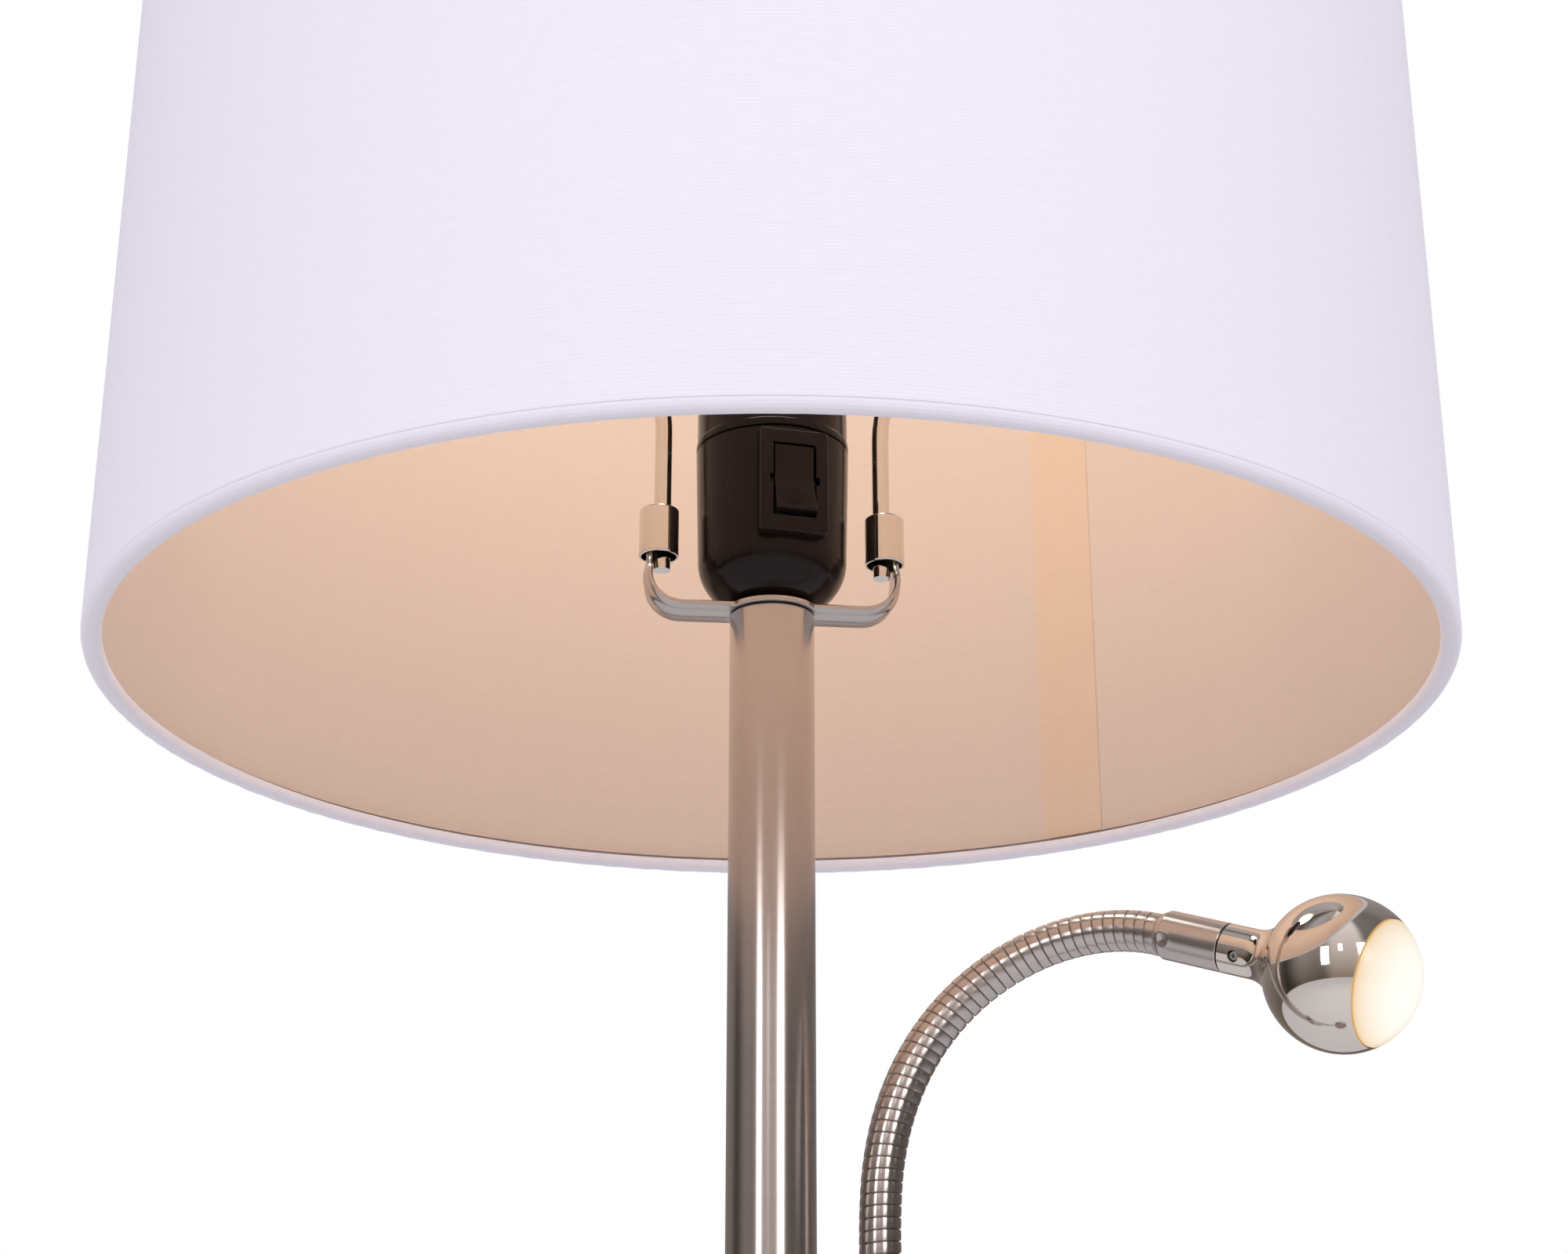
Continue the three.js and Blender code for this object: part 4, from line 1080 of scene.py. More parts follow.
@dataclass
class Base:
    """The weighted round base with its pad, its fixings, the cord's bushing and the pole's foot."""

    corner: float = 8 * MM
    crown: float = 4 * MM
    wall: float = 1.2 * MM
    edge: float = 0.5 * MM
    clear: float = 0.3 * MM
    bore: float = 5.2 * MM
    pad_bore: float = 32 * MM
    outlet: float = 5.3 * MM
    flange: float = 3 * MM
    neck: float = 12.825 * MM
    floor: float = 4 * MM
    bushing_flange: float = 7 * MM
    bushing_body: float = 5 * MM
    bushing_bore: float = 3.2 * MM
    bushing_rim: float = 2 * MM
    bushing_taper: float = 0.9 * MM
    nut_chamfer: float = 0.8 * MM
    sides: int = 192

    def skin(self, inset: float) -> Outline:
        """Half of the cover's section, inset from its outer side.

        Args:
            inset: distance in from the outer side.

        Returns:
            The outline, from the rim to the hole.
        """
        low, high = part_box("base_cover")
        bend = arc(high.x - self.corner, high.z - self.crown - self.corner, self.corner - inset, 0, 90, 12)
        return [(high.x - inset, low.z), *bend, (self.bore, high.z - inset)]

    def cover(self) -> bpy.types.Object:
        """Builds the spun cover, with the hole for the cord's bushing.

        Returns:
            The cover.
        """
        shell = turned("base_cover_spun", [*self.skin(0), *reversed(self.skin(self.wall))], self.sides)
        centre, high = middle("cord_bushing"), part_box("base_cover")[1]
        at = facing(Vector((centre.x, high.y, centre.z)), Vector((0, 1, 0)), Vector((1, 0, 0)))
        drilled(shell, self.outlet, -10 * MM, 10 * MM, 48, at)
        return shell

    def pad(self) -> bpy.types.Object:
        """Builds the foam pad under the base."""
        low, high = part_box("base_pad")
        return turned("base_pad_foam", tube(high.x, self.pad_bore, low.z, high.z, self.edge), self.sides)

    def bushing(self) -> bpy.types.Object:
        """Builds the rubber bushing that the cord leaves through.

        Returns:
            The bushing.
        """
        low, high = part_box("cord_bushing")
        centre = (low + high) / 2
        length, flange, body = high.y - low.y, self.bushing_flange, self.bushing_body
        step = length - self.bushing_rim
        outline = [(self.bushing_bore, 0), (body, 0), (body, step), (flange, step)]
        outline += [(flange - self.bushing_taper, length), (self.bushing_bore, length)]
        at = facing(Vector((centre.x, low.y, centre.z)), Vector((0, 1, 0)), Vector((1, 0, 0)))
        return turned("cord_bushing_moulded", softened(outline, self.edge), 48, at)

    def foot(self) -> bpy.types.Object:
        """Builds the flared foot that the pole stands in.

        Returns:
            The foot.
        """
        low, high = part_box("pole_foot")
        flare = high.x - self.neck
        lift = low.z + self.flange + flare
        top = max(high.z, lift + 1 * MM)
        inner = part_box("pole_tube_1")[1].x + self.clear
        outline = [(self.bore, low.z), (high.x, low.z), *arc(high.x, lift, flare, 270, 180, 14)]
        floor = low.z + self.floor
        outline += [(self.neck, top), (inner, top), (inner, floor), (self.bore, floor)]
        return turned("pole_foot_flare", softened(outline, self.edge), 96)

    def nut(self) -> bpy.types.Object:
        """Builds the chamfered nut that holds the pole to the base.

        Returns:
            The nut.
        """
        low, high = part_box("base_nut")
        corner = (high.x - low.x) / math.sqrt(3)
        face = corner - self.nut_chamfer
        outline = [(self.bore, low.z), (face, low.z), (corner, low.z + self.edge)]
        outline += [(corner, high.z - self.edge), (face, high.z), (self.bore, high.z)]
        blank = turned("base_nut_cut", outline, 48)
        hexagon = [polar(corner, math.radians(90 + 60 * i)).xy[:] for i in range(6)]
        half_height = Matrix.Translation((0, 0, (low.z + high.z) / 2))
        combined(blank, extruded("hexagon", hexagon, high.z - low.z + 2 * MM, 0.0, half_height), Cut.SHARE)
        return fill_lay(blank, Matrix())

    def build(self, shop: Workshop) -> None:
        """Builds and dresses the base.

        Args:
            shop: the workshop that it is built in.
        """
        cover = fill_lay(self.cover(), Matrix())
        shop.settle(cover, Slot.NICKEL, "stand", "base_cover")
        shop.settle(self.pad(), Slot.RUBBER, "stand", "base_pad")
        shop.settle(self.bushing(), Slot.RUBBER, "stand", "cord_bushing")
        shop.settle(self.foot(), Slot.NICKEL, "stand", "pole_foot")
        shop.settle(self.nut(), Slot.STEEL, "stand", "base_nut")


@dataclass
class Pole:
    """The three tubes of the pole and the couplings between them."""

    sections: int = 3
    wall: float = 1.2 * MM
    edge: float = 0.35 * MM
    plug: float = 8.025 * MM
    wire_bore: float = 3.6 * MM
    stud: float = 14 * MM
    sides: int = 128

    def tube(self, number: int) -> bpy.types.Object:
        """Builds one tube.

        Args:
            number: the tube's number, counted from the base.

        Returns:
            The tube.
        """
        low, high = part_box(f"pole_tube_{number}")
        outline = tube(high.x, high.x - self.wall, low.z, high.z, self.edge)
        return turned(f"pole_tube_{number}_brushed", outline, self.sides)

    def coupling(self, number: int) -> bpy.types.Object:
        """Builds one coupling: a ring with a stud reaching into each tube.

        Args:
            number: the coupling's number, counted from the base.

        Returns:
            The coupling.
        """
        low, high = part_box(f"pole_coupling_{number}")
        ring_low, ring_high = low.z + self.stud, high.z - self.stud
        bore, plug = self.wire_bore, self.plug
        outline = [(bore, low.z), (plug, low.z), (plug, ring_low), (high.x, ring_low)]
        outline += [(high.x, ring_high), (plug, ring_high), (plug, high.z), (bore, high.z)]
        return turned(f"pole_coupling_{number}_turned", softened(outline, 0.6 * MM, 4), self.sides)

    def build(self, shop: Workshop) -> None:
        """Builds and dresses the pole.

        Args:
            shop: the workshop that it is built in.
        """
        for number in range(1, self.sections + 1):
            shop.settle(self.tube(number), Slot.NICKEL, "stand", f"pole_tube_{number}")
        for number in range(1, self.sections):
            shop.settle(self.coupling(number), Slot.NICKEL, "stand", f"pole_coupling_{number}")


# ---- Harp -----------------------------------------------------------------------------------------


@dataclass
class Harp:
    """The saddle, the wire bow, its two ferrules and the stud that the shade sits on."""

    strip: float = 11.5 * MM
    thickness: float = 1.3 * MM
    bend: float = 8 * MM
    tongue: float = 4.8 * MM
    taper_low: float = 8.5 * MM
    taper: float = 5 * MM
    rib_width: float = 3.4 * MM
    rib_height: float = 0.55 * MM
    rib_back: float = 0.6
    edge_drop: float = 0.3 * MM
    tip: float = 1.4 * MM
    bore: float = 5.2 * MM
    wire: float = 2 * MM
    straight: float = 34 * MM
    clear: float = 0.3 * MM
    lean_in: float = 0.7 * MM
    stud_radius: float = 3.15 * MM
    thread_pitch: float = 0.8 * MM
    ball: float = 8.5 * MM
    finial_depth: float = 18.4 * MM

    def __post_init__(self) -> None:
        """Reads where the harp stands and how far it is turned."""
        right = middle("ferrule_right")
        self.turn = Matrix.Rotation(math.atan2(right.y, right.x), 4, "Z")
        self.reach = math.hypot(right.x, right.y)
        low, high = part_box("saddle")
        self.floor, self.top = low.z, high.z
        self.disc = high.y
        self.pole_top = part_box("pole_tube_3")[1].z
        self.leg = self.reach - self.lean_in
        self.tongue_outer = self.leg + self.wire + self.clear + self.thickness

    def station(self, x: float, z: float, nx: float, nz: float, half: float, rib: float) -> list[Vector]:
        """One section of the saddle's strip, drawn across it.

        Args:
            x: place of the strip's outer side along the saddle.
            z: its height.
            nx: outward direction along the saddle.
            nz: outward direction upwards.
            half: half of the strip's width.
            rib: height of the pressed rib.

        Returns:
            The section's points, in order round it.
        """
        halves = (0.16, 0.3, 0.5, 0.93, 1.0)
        outer, inner = [], []
        for share in (*(-s for s in reversed(halves)), 0.0, *halves):
            bump = rib * max(0.0, 1 - (share * half / (self.rib_width / 2)) ** 2) ** 1.5
            drop = self.edge_drop if abs(share) == 1.0 else 0.0
            out, back = bump - drop, drop + self.rib_back * bump - self.thickness
            outer.append(Vector((x + nx * out, share * half, z + nz * out)))
            inner.append(Vector((x + nx * back, share * half, z + nz * back)))
        return outer + inner[::-1]

    def half_path(self) -> list[tuple[float, ...]]:
        """Stations of the saddle's right half, from its middle to the tongue's top.

        Returns:
            Each station as the arguments of the section there.
        """
        centre = self.tongue_outer - self.bend
        stops = [(centre * i / 8, self.floor, 0.0, -1.0) for i in range(9)]
        for a in (math.radians(-90 + 90 * i / 14) for i in range(1, 15)):
            nx, nz = math.cos(a), math.sin(a)
            stops.append((centre + self.bend * nx, self.floor + self.bend * (1 + nz), nx, nz))
        first = self.pole_top + self.taper_low
        last = first + self.taper
        stops += [(self.tongue_outer, first + (last - first) * i / 6, 1.0, 0.0) for i in range(7)]
        stops += [(self.tongue_outer, last + (self.top - last) * i / 5, 1.0, 0.0) for i in range(1, 6)]
        path = []
        for x, z, nx, nz in stops:
            share = min(1.0, max(0.0, (z - first) / (last - first)))
            ease = share * share * (3 - 2 * share)
            half = (self.strip + (self.tongue - self.strip) * ease) / 2
            tip = max(0.0, (z - self.top + self.tip) / self.tip)
            half *= math.sqrt(max(0.05, 1 - 0.8 * tip * tip))
            path.append((x, z, nx, nz, half, self.rib_height * (1 - ease)))
        return path

    def saddle(self) -> bpy.types.Object:
        """Builds the bent strip with its rib, its disc and its hole.

        Returns:
            The saddle.
        """
        right = self.half_path()
        left = [(-x, z, -nx, nz, half, rib) for x, z, nx, nz, half, rib in right[:0:-1]]
        rows = [self.station(*stop) for stop in left + right]
        count, last = len(rows[0]), len(rows) - 1
        points = np.array([p for row in rows for p in row])
        faces = []
        for first in (j * count for j in range(last)):
            for i, k in ((i, (i + 1) % count) for i in range(count)):
                faces.append((first + i, first + count + i, first + count + k, first + k))
        faces += [tuple(range(count)), tuple(reversed(range(last * count, (last + 1) * count)))]
        uvs = [(0.0, 0.0)] * sum(len(face) for face in faces)
        strip = mesh_object("saddle_pressed", points, faces, uvs, points)
        made = bmesh.new()
        made.from_mesh(strip.data)
        bmesh.ops.recalc_face_normals(made, faces=made.faces)
        made.to_mesh(strip.data)
        made.free()
        disc = softened(rod(self.disc, self.floor, self.floor + self.thickness), 0.35 * MM)
        combined(strip, turned("disc", disc, 96), Cut.ADD)
        drilled(strip, self.bore, self.floor - 5 * MM, self.floor + 5 * MM, 48, Matrix())
        strip.data.transform(self.turn)
        return fill_lay(strip, Matrix.Rotation(math.radians(90), 4, "X"))

    def side_curve(self, side: int) -> list[Vector]:
        """Centre line of one side of the bow, from its cut end to the crown.

        Args:
            side: 1 for the right side or -1 for the left.

        Returns:
            The points, from the cut end to the crown.
        """
        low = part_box("harp_bow")[0].z
        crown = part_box("harp_bow")[1].z - self.wire
        bulge = max(abs(c.x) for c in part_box("harp_bow")) / math.cos(self.turn.to_euler().z) - self.wire
        knee = low + self.straight
        half_way = (knee + crown) / 2
        rise = (half_way - knee) / 2
        points = [Vector((self.leg, 0, low + (knee - low) * i / 12)) for i in range(12)]
        for controls in (
            ((self.leg, knee), (self.leg, knee + 0.7 * rise), (bulge, half_way - rise), (bulge, half_way)),
            ((bulge, half_way), (bulge, half_way + 1.3 * rise), (bulge / 2, crown), (0.0, crown)),
        ):
            points += bezier([Vector((x, 0, z)) for x, z in controls], 28)
        points.append(Vector((0, 0, crown)))
        return [self.turn @ Vector((side * p.x, p.y, p.z)) for p in points]

    def bow(self, shop: Workshop) -> bpy.types.Object:
        """Builds the wire bow.

        Args:
            shop: the workshop that it is built in.

        Returns:
            The bow.
        """
        path = self.side_curve(-1) + self.side_curve(1)[-2::-1]
        bow = shop.wire("harp_bow_wire", path, self.wire, Slot.CHROME)
        return fill_lay(bow, Matrix())

    def ferrule(self, side: str) -> bpy.types.Object:
        """Builds one of the ferrules that lock the bow to the saddle.

        Args:
            side: left or right.

        Returns:
            The ferrule.
        """
        low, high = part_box(f"ferrule_{side}")
        outer, lip = (high.x - low.x) / 2, 0.22 * MM
        bore, turned_in = outer - 0.6 * MM, 1.6 * lip
        outline = [(bore, low.z), (outer - lip, low.z), (outer, low.z + turned_in)]
        outline += [(outer, high.z - turned_in), (outer - lip, high.z), (bore, high.z)]
        centre = middle(f"ferrule_{side}")
        at = Matrix.Translation((centre.x, centre.y, 0))
        return turned(f"ferrule_{side}_polished", softened(outline, 0.3 * MM, 4), 96, at)

    def stud(self) -> bpy.types.Object:
        """Builds the crown's collar and its threaded stud.

        Returns:
            The stud.
        """
        low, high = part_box("harp_stud")
        collar, seat = (high.y - low.y) / 2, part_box("shade_spider")[0].z + 0.25 * MM
        chamfer, root = 2 * MM, self.stud_radius - 0.4 * MM
        outline = [(0.0, low.z), (collar - chamfer, low.z), (collar, low.z + chamfer)]
        outline += [(collar, seat), (self.stud_radius, seat)]
        for i in range(int((high.z - seat - 2 * MM) / self.thread_pitch)):
            z = seat + 1 * MM + i * self.thread_pitch
            outline += [(root, z), (self.stud_radius, z + self.thread_pitch / 2)]
        outline += [(self.stud_radius - 0.6 * MM, high.z), (0.0, high.z)]
        stud = turned("harp_stud_turned", outline, 48)
        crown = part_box("harp_bow")[1].z - self.wire
        lengthwise = facing(Vector((0, 0, crown)), self.turn @ Vector((1, 0, 0)), UP)
        drilled(stud, self.wire + self.clear, -20 * MM, 20 * MM, 32, lengthwise)
        return fill_lay(stud, Matrix())

    def finial(self) -> bpy.types.Object:
        """Builds the finial that screws down on the shade.

        Returns:
            The finial.
        """
        low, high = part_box("finial")
        ball, depth = self.ball, low.z + self.finial_depth
        bore = self.stud_radius + self.clear
        foot, neck = 0.8 * ball, 0.5 * ball
        outline = [(bore, low.z), (foot, low.z), (foot, low.z + 2 * MM), (neck, low.z + 4 * MM)]
        outline += arc(0.0, high.z - ball, ball, -55, 88, 24) + [(0.0, high.z), (0.0, depth), (bore, depth)]
        return turned("finial_turned", softened(outline, 0.4 * MM), 72)

    def build(self, shop: Workshop) -> None:
        """Builds and dresses the harp.

        Args:
            shop: the workshop that it is built in.
        """
        shop.settle(self.saddle(), Slot.NICKEL, "stand", "saddle")
        shop.settle(self.bow(shop), Slot.CHROME, "stand", "harp_bow")
        for side in ("left", "right"):
            shop.settle(self.ferrule(side), Slot.CHROME, f"ferrule_{side}", f"ferrule_{side}")
        shop.settle(self.stud(), Slot.BRASS, "stand", "harp_stud")
        shop.settle(self.finial(), Slot.NICKEL, "finial", "finial")


# ---- Socket and bulb ------------------------------------------------------------------------------


@dataclass
class Socket:
    """The two-part phenolic socket with its bezel and rocker, and the bulb."""

    wall: float = 2 * MM
    draft: float = 0.6 * MM
    fillet: float = 11.2 * MM
    bore: float = 5.2 * MM
    bezel_width: float = 15.8 * MM
    bezel_height: float = 24.7 * MM
    bezel_rise: float = 2.4 * MM
    bezel_bottom: float = 11.3 * MM
    window_clear: float = 0.35 * MM
    rocker_width: float = 9.2 * MM
    rocker_height: float = 16.5 * MM
    rocker_tilt: float = 8.0
    rocker_crest: float = 1.6 * MM
    rocker_depth: float = 4 * MM
    pin: float = 0.7 * MM
    pin_reach: float = 0.5 * MM
    glass: float = 1.2 * MM
    globe_radius: float = 30 * MM
    globe_neck: float = 13 * MM
    cap_radius: float = 12.6 * MM
    cap_tip: float = 4.5 * MM
    cap_turns: int = 4
    cap_pitch: float = 3.6 * MM

    def __post_init__(self) -> None:
        """Reads where the socket stands and how far it is turned."""
        low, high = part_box("socket_cap")
        self.low, self.seam = low.z, high.z
        self.radius = high.x
        self.pivot = Vector(joint("rocker_tilt")["pos_m"])
        self.out = Vector((self.pivot.x, self.pivot.y, 0)).normalized()
        self.face = self.radius + self.bezel_rise
        self.bezel_middle = self.low + self.bezel_bottom + self.bezel_height / 2

    def on_face(self, distance: float) -> Matrix:
        """A frame on the bezel's middle with X across it, Y up and Z out of it."""
        at = self.out * distance + UP * self.bezel_middle
        return facing(at, self.out, UP.cross(self.out))

    def block(self, size: Sequence[float], out: float, corner: float, soft: float = 0.0) -> bpy.types.Object:
        """Builds a block with rounded corners on the bezel's axis.

        Args:
            size: its width, its height and its depth.
            out: distance of its middle from the socket's axis.
            corner: radius of its corners.
            soft: rounding of its edges.

        Returns:
            The block.
        """
        w, h = size[0] / 2, size[1] / 2
        outline = softened([(-w, -h), (w, -h), (w, h), (-w, h)], corner, 6)
        return extruded("block", outline, size[2], soft, self.on_face(out))

    def skin(self, inset: float) -> Outline:
        """Half of the cap's section, inset from its outer side.

        Args:
            inset: distance in from the outer side.

        Returns:
            The outline, from the hole to the seam.
        """
        foot, outer = self.radius - self.draft - self.fillet, self.radius - inset
        bend = arc(foot, self.low + self.fillet, self.fillet - inset, 270, 360, 18)
        seam = [(outer, self.seam - 0.25 * MM), (outer - 0.2 * MM, self.seam)]
        return [(self.bore, self.low + inset), *bend, *seam]

    def cap(self) -> bpy.types.Object:
        """Builds the cap: a rounded cup with the raised bezel, its window and the pivot notches.

        Returns:
            The cap.
        """
        cup = turned("socket_cap_moulded", [*self.skin(0), *reversed(self.skin(self.wall))], 144)
        depth = self.face - (self.radius - self.wall) - 0.5 * MM
        bezel = (self.bezel_width, self.bezel_height, depth)
        combined(cup, self.block(bezel, self.face - depth / 2, 1.4 * MM, 0.6 * MM), Cut.ADD)
        width, cutting = self.rocker_width + 2 * self.window_clear, 12 * MM
        window = (width, self.rocker_height + 1.2 * MM, cutting)
        combined(cup, self.block(window, self.face, 0.7 * MM), Cut.TAKE)
        notch = (width + 2 * (self.pin_reach + 0.3 * MM), 2 * self.pin + 0.6 * MM, cutting)
        combined(cup, self.block(notch, self.face, 0.3 * MM), Cut.TAKE)
        return fill_lay(cup, Matrix())

    def shell(self) -> bpy.types.Object:
        """Builds the upper shell, with the bead at its foot.

        Returns:
            The shell.
        """
        low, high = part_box("socket_shell")
        outer, inner = high.x, high.x - self.wall
        waist = outer - 0.25 * MM
        outline = [(inner, low.z), (outer - 0.2 * MM, low.z), (outer, low.z + 0.25 * MM)]
        outline += [(outer, low.z + 1.6 * MM), (waist, low.z + 1.9 * MM), (waist, high.z - 2.4 * MM)]
        outline += [(outer, high.z - 2.0 * MM), (outer, high.z), (inner, high.z)]
        return turned("socket_shell_moulded", softened(outline, 0.3 * MM), 144)

    def rocker(self) -> bpy.types.Object:
        """Builds the rocker with its two dished faces and its pivot pin.

        Returns:
            The rocker.
        """
        half, crest = self.rocker_height / 2, self.rocker_crest
        lip = crest + half * math.tan(math.radians(self.rocker_tilt))
        upper = [(crest + (lip - crest) * (i / 8) ** 1.25, half * i / 8) for i in range(9)]
        lower = [(x, -y) for x, y in reversed(upper)]
        back, shoulder = -self.rocker_depth, 0.75 * half
        outline = lower[:-1] + upper + [(0.0, half), (back, shoulder), (back, -shoulder), (0.0, -half)]
        tilt = Matrix.Rotation(math.radians(self.rocker_tilt), 4, "Z")
        axes = Matrix((self.out, UP, self.out.cross(UP))).transposed().to_4x4()
        axes.translation = self.pivot
        body = extruded("rocker_moulded", outline, self.rocker_width, 0.35 * MM, axes @ tilt)
        reach = self.rocker_width / 2 + self.pin_reach
        across = facing(self.pivot, UP.cross(self.out), self.out)
        combined(body, turned("pin", rod(self.pin, -reach, reach), 24, across), Cut.ADD)
        return fill_lay(body, Matrix())

    def globe(self) -> bpy.types.Object:
        """Builds the bulb's frosted globe.

        Returns:
            The globe.
        """
        low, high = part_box("bulb_globe")
        neck, lean = self.globe_neck, math.radians(-38)
        centre = high.z - self.globe_radius

        def skin(inset: float) -> Outline:
            """Half of the globe's section, inset from its outer side.

            Args:
                inset: distance in from the outer side.

            Returns:
                The outline, from the neck to the crown.
            """
            radius = self.globe_radius - inset
            start = Vector((neck - inset, low.z))
            bend = Vector((neck + 1 * MM - inset, low.z + 13 * MM))
            end = Vector((radius * math.cos(lean), centre + radius * math.sin(lean)))
            curve = [tuple(point) for point in bezier((start, bend, end), 10)]
            return curve + arc(0.0, centre, radius, -38, 90, 24)[:-1] + [(0.0, centre + radius)]

        return turned("bulb_globe_blown", skin(0.0) + skin(self.glass)[::-1], 72)

    def bulb_cap(self) -> bpy.types.Object:
        """Builds the bulb's threaded cap.

        Returns:
            The cap.
        """
        low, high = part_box("bulb_cap")
        radius, tip = self.cap_radius, self.cap_tip
        root, crest = radius - 1.1 * MM, radius - 0.1 * MM
        outline = [(0.0, low.z), (tip, low.z), (tip + 1 * MM, low.z + 1 * MM)]
        outline += [(radius - 1.4 * MM, low.z + 5 * MM)]
        for i in range(self.cap_turns):
            z = low.z + 5.5 * MM + i * self.cap_pitch
            outline += [(r, z + 0.9 * MM * k) for k, r in enumerate((root, crest, crest, root))]
        outline += [(radius, high.z - 3 * MM), (radius, high.z), (0.0, high.z)]
        return turned("bulb_cap_rolled", softened(outline, 0.5 * MM), 64)

    def build(self, shop: Workshop) -> None:
        """Builds and dresses the socket and the bulb.

        Args:
            shop: the workshop that it is built in.
        """
        shop.settle(self.cap(), Slot.PHENOLIC, "stand", "socket_cap")
        shop.settle(self.shell(), Slot.PHENOLIC, "stand", "socket_shell")
        shop.settle(self.rocker(), Slot.PHENOLIC, "rocker", "rocker")
        shop.settle(set_glow(self.globe()), Slot.BULB, "bulb", "bulb_globe")
        shop.settle(self.bulb_cap(), Slot.ALUMINIUM, "bulb", "bulb_cap")
# ---- Shade ----------------------------------------------------------------------------------------


@dataclass
class Shade:
    """The drum shade: cloth, liner, rolled hems, wire ring and spider."""

    cloth: float = 0.7 * MM
    hem: float = 2.2 * MM
    hem_wall: float = 0.5 * MM
    wire: float = 1.3 * MM
    seam_angle: float = 57.0
    seam_width: float = 16 * MM
    seam_step: float = 0.35 * MM
    edge: float = 0.15 * MM
    trim: float = 0.12 * MM
    hub: float = 13 * MM
    hub_bore: float = 3.45 * MM
    hub_thickness: float = 1.5 * MM
    weld: float = 3 * MM
    sink: float = 0.2 * MM
    spoke_run: float = 62 * MM
    spoke_lift: float = 0.9
    spokes: int = 3
    sides: int = 288

    def panel(self, name: str, outer: float, low: float, high: float, seam_outside: bool) -> bpy.types.Object:
        """Builds a rolled panel whose glued overlap stands proud in a band.

        Args:
            name: the panel's name.
            outer: its outer radius.
            low: its bottom edge.
            high: its top edge.
            seam_outside: whether the band stands out of the outer side.

        Returns:
            The panel.
        """
        half = self.seam_width / outer / 2
        seam = math.radians(self.seam_angle)
        fade = 0.0012
        edges = [seam - half, seam - half + fade, seam + half - fade, seam + half]
        angles = sorted([math.tau * i / self.sides for i in range(self.sides)] + edges)
        rises = (low + (high - low) * i / 10 for i in range(1, 10))
        heights = [low, low + self.edge, *rises, high - self.edge, high]
        points, lay, rows = [], [], []
        for skin in (1, 0):
            for z in heights if skin else heights[::-1]:
                rows.append(len(points))
                trim = self.trim if z in (low, high) else 0.0
                for a in angles:
                    step = self.seam_step if seam - half < a < seam + half else 0.0
                    proud, sunk = (step, 0.0) if seam_outside else (0.0, step)
                    r = outer + proud - trim if skin else outer - self.cloth - sunk + trim
                    points.append((r * math.cos(a), r * math.sin(a), z))
                    lay.append((math.cos(a), math.sin(a), z))
        count = len(angles)
        faces, uvs = [], []
        for j, first in enumerate(rows):
            second = rows[(j + 1) % len(rows)]
            z0, z1 = points[first][2], points[second][2]
            for i in range(count):
                k = (i + 1) % count
                u0, u1 = angles[i] * outer, (angles[k] + (math.tau if k == 0 else 0.0)) * outer
                faces.append((first + i, first + k, second + k, second + i))
                uvs += [(u0, z0), (u1, z0), (u1, z1), (u0, z1)]
        piece = mesh_object(name, np.array(points), faces, uvs, np.array(lay))
        band = piece.data.attributes.new("band", "FLOAT", "POINT")
        x, y, _ = np.array(points).T
        band.data.foreach_set("value", (np.abs(np.arctan2(y, x) - seam) < half).astype(np.float32))
        return piece

    def rim(self, name: str, edge: float, up: int, wrap: float) -> bpy.types.Object:
        """Builds a hem: cloth rolled round the rim's wire, with small puckers.

        Args:
            name: the hem's name.
            edge: height of the rim's edge.
            up: 1 for the bottom rim, whose cloth rolls downwards, or -1 for the top rim.
            wrap: how far the cloth is rolled, in degrees.

        Returns:
            The hem.
        """
        centre_r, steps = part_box("shade_fabric")[1].x - self.hem, 18
        outer = arc(centre_r, 0.0, self.hem, 0.0, -wrap, steps)
        inner = arc(centre_r, 0.0, self.hem - self.hem_wall, -wrap, 0.0, steps)
        piece = turned(name, (outer + inner)[::-1], self.sides)
        mesh = piece.data
        co = coordinates(mesh)
        angle, radius = np.arctan2(co[:, 1], co[:, 0]), np.hypot(co[:, 0], co[:, 1])
        pucker = 0.05 * np.sin(97 * angle + 2.1 * np.sin(13 * angle))
        pucker += 0.04 * np.sin(151 * angle + 1.3 * np.sin(29 * angle))
        under = np.clip(-co[:, 2] / self.hem, 0.0, 1.0)
        co[:, :2] *= (1.0 - (pucker + 0.09) * MM * under / radius)[:, None]
        co[:, 2] *= 1.0 - 0.04 * under * (pucker * 10 + 0.9)
        co[:, 2] = edge + up * self.hem + up * co[:, 2]
        mesh.vertices.foreach_set("co", co.ravel())
        if up < 0:
            mesh.flip_normals()
        mesh.update()
        return piece

    def ring(self, shop: Workshop, name: str, height: float) -> bpy.types.Object:
        """Builds a wire ring inside a rim.

        Args:
            shop: the workshop that it is built in.
            name: the ring's name.
            height: its wire's height.

        Returns:
            The ring.
        """
        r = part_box("shade_fabric")[1].x - self.hem
        points = [polar(r, math.tau * i / 144, height) for i in range(144)]
        return shop.wire(name, points, self.wire, Slot.STEEL, closed=True)

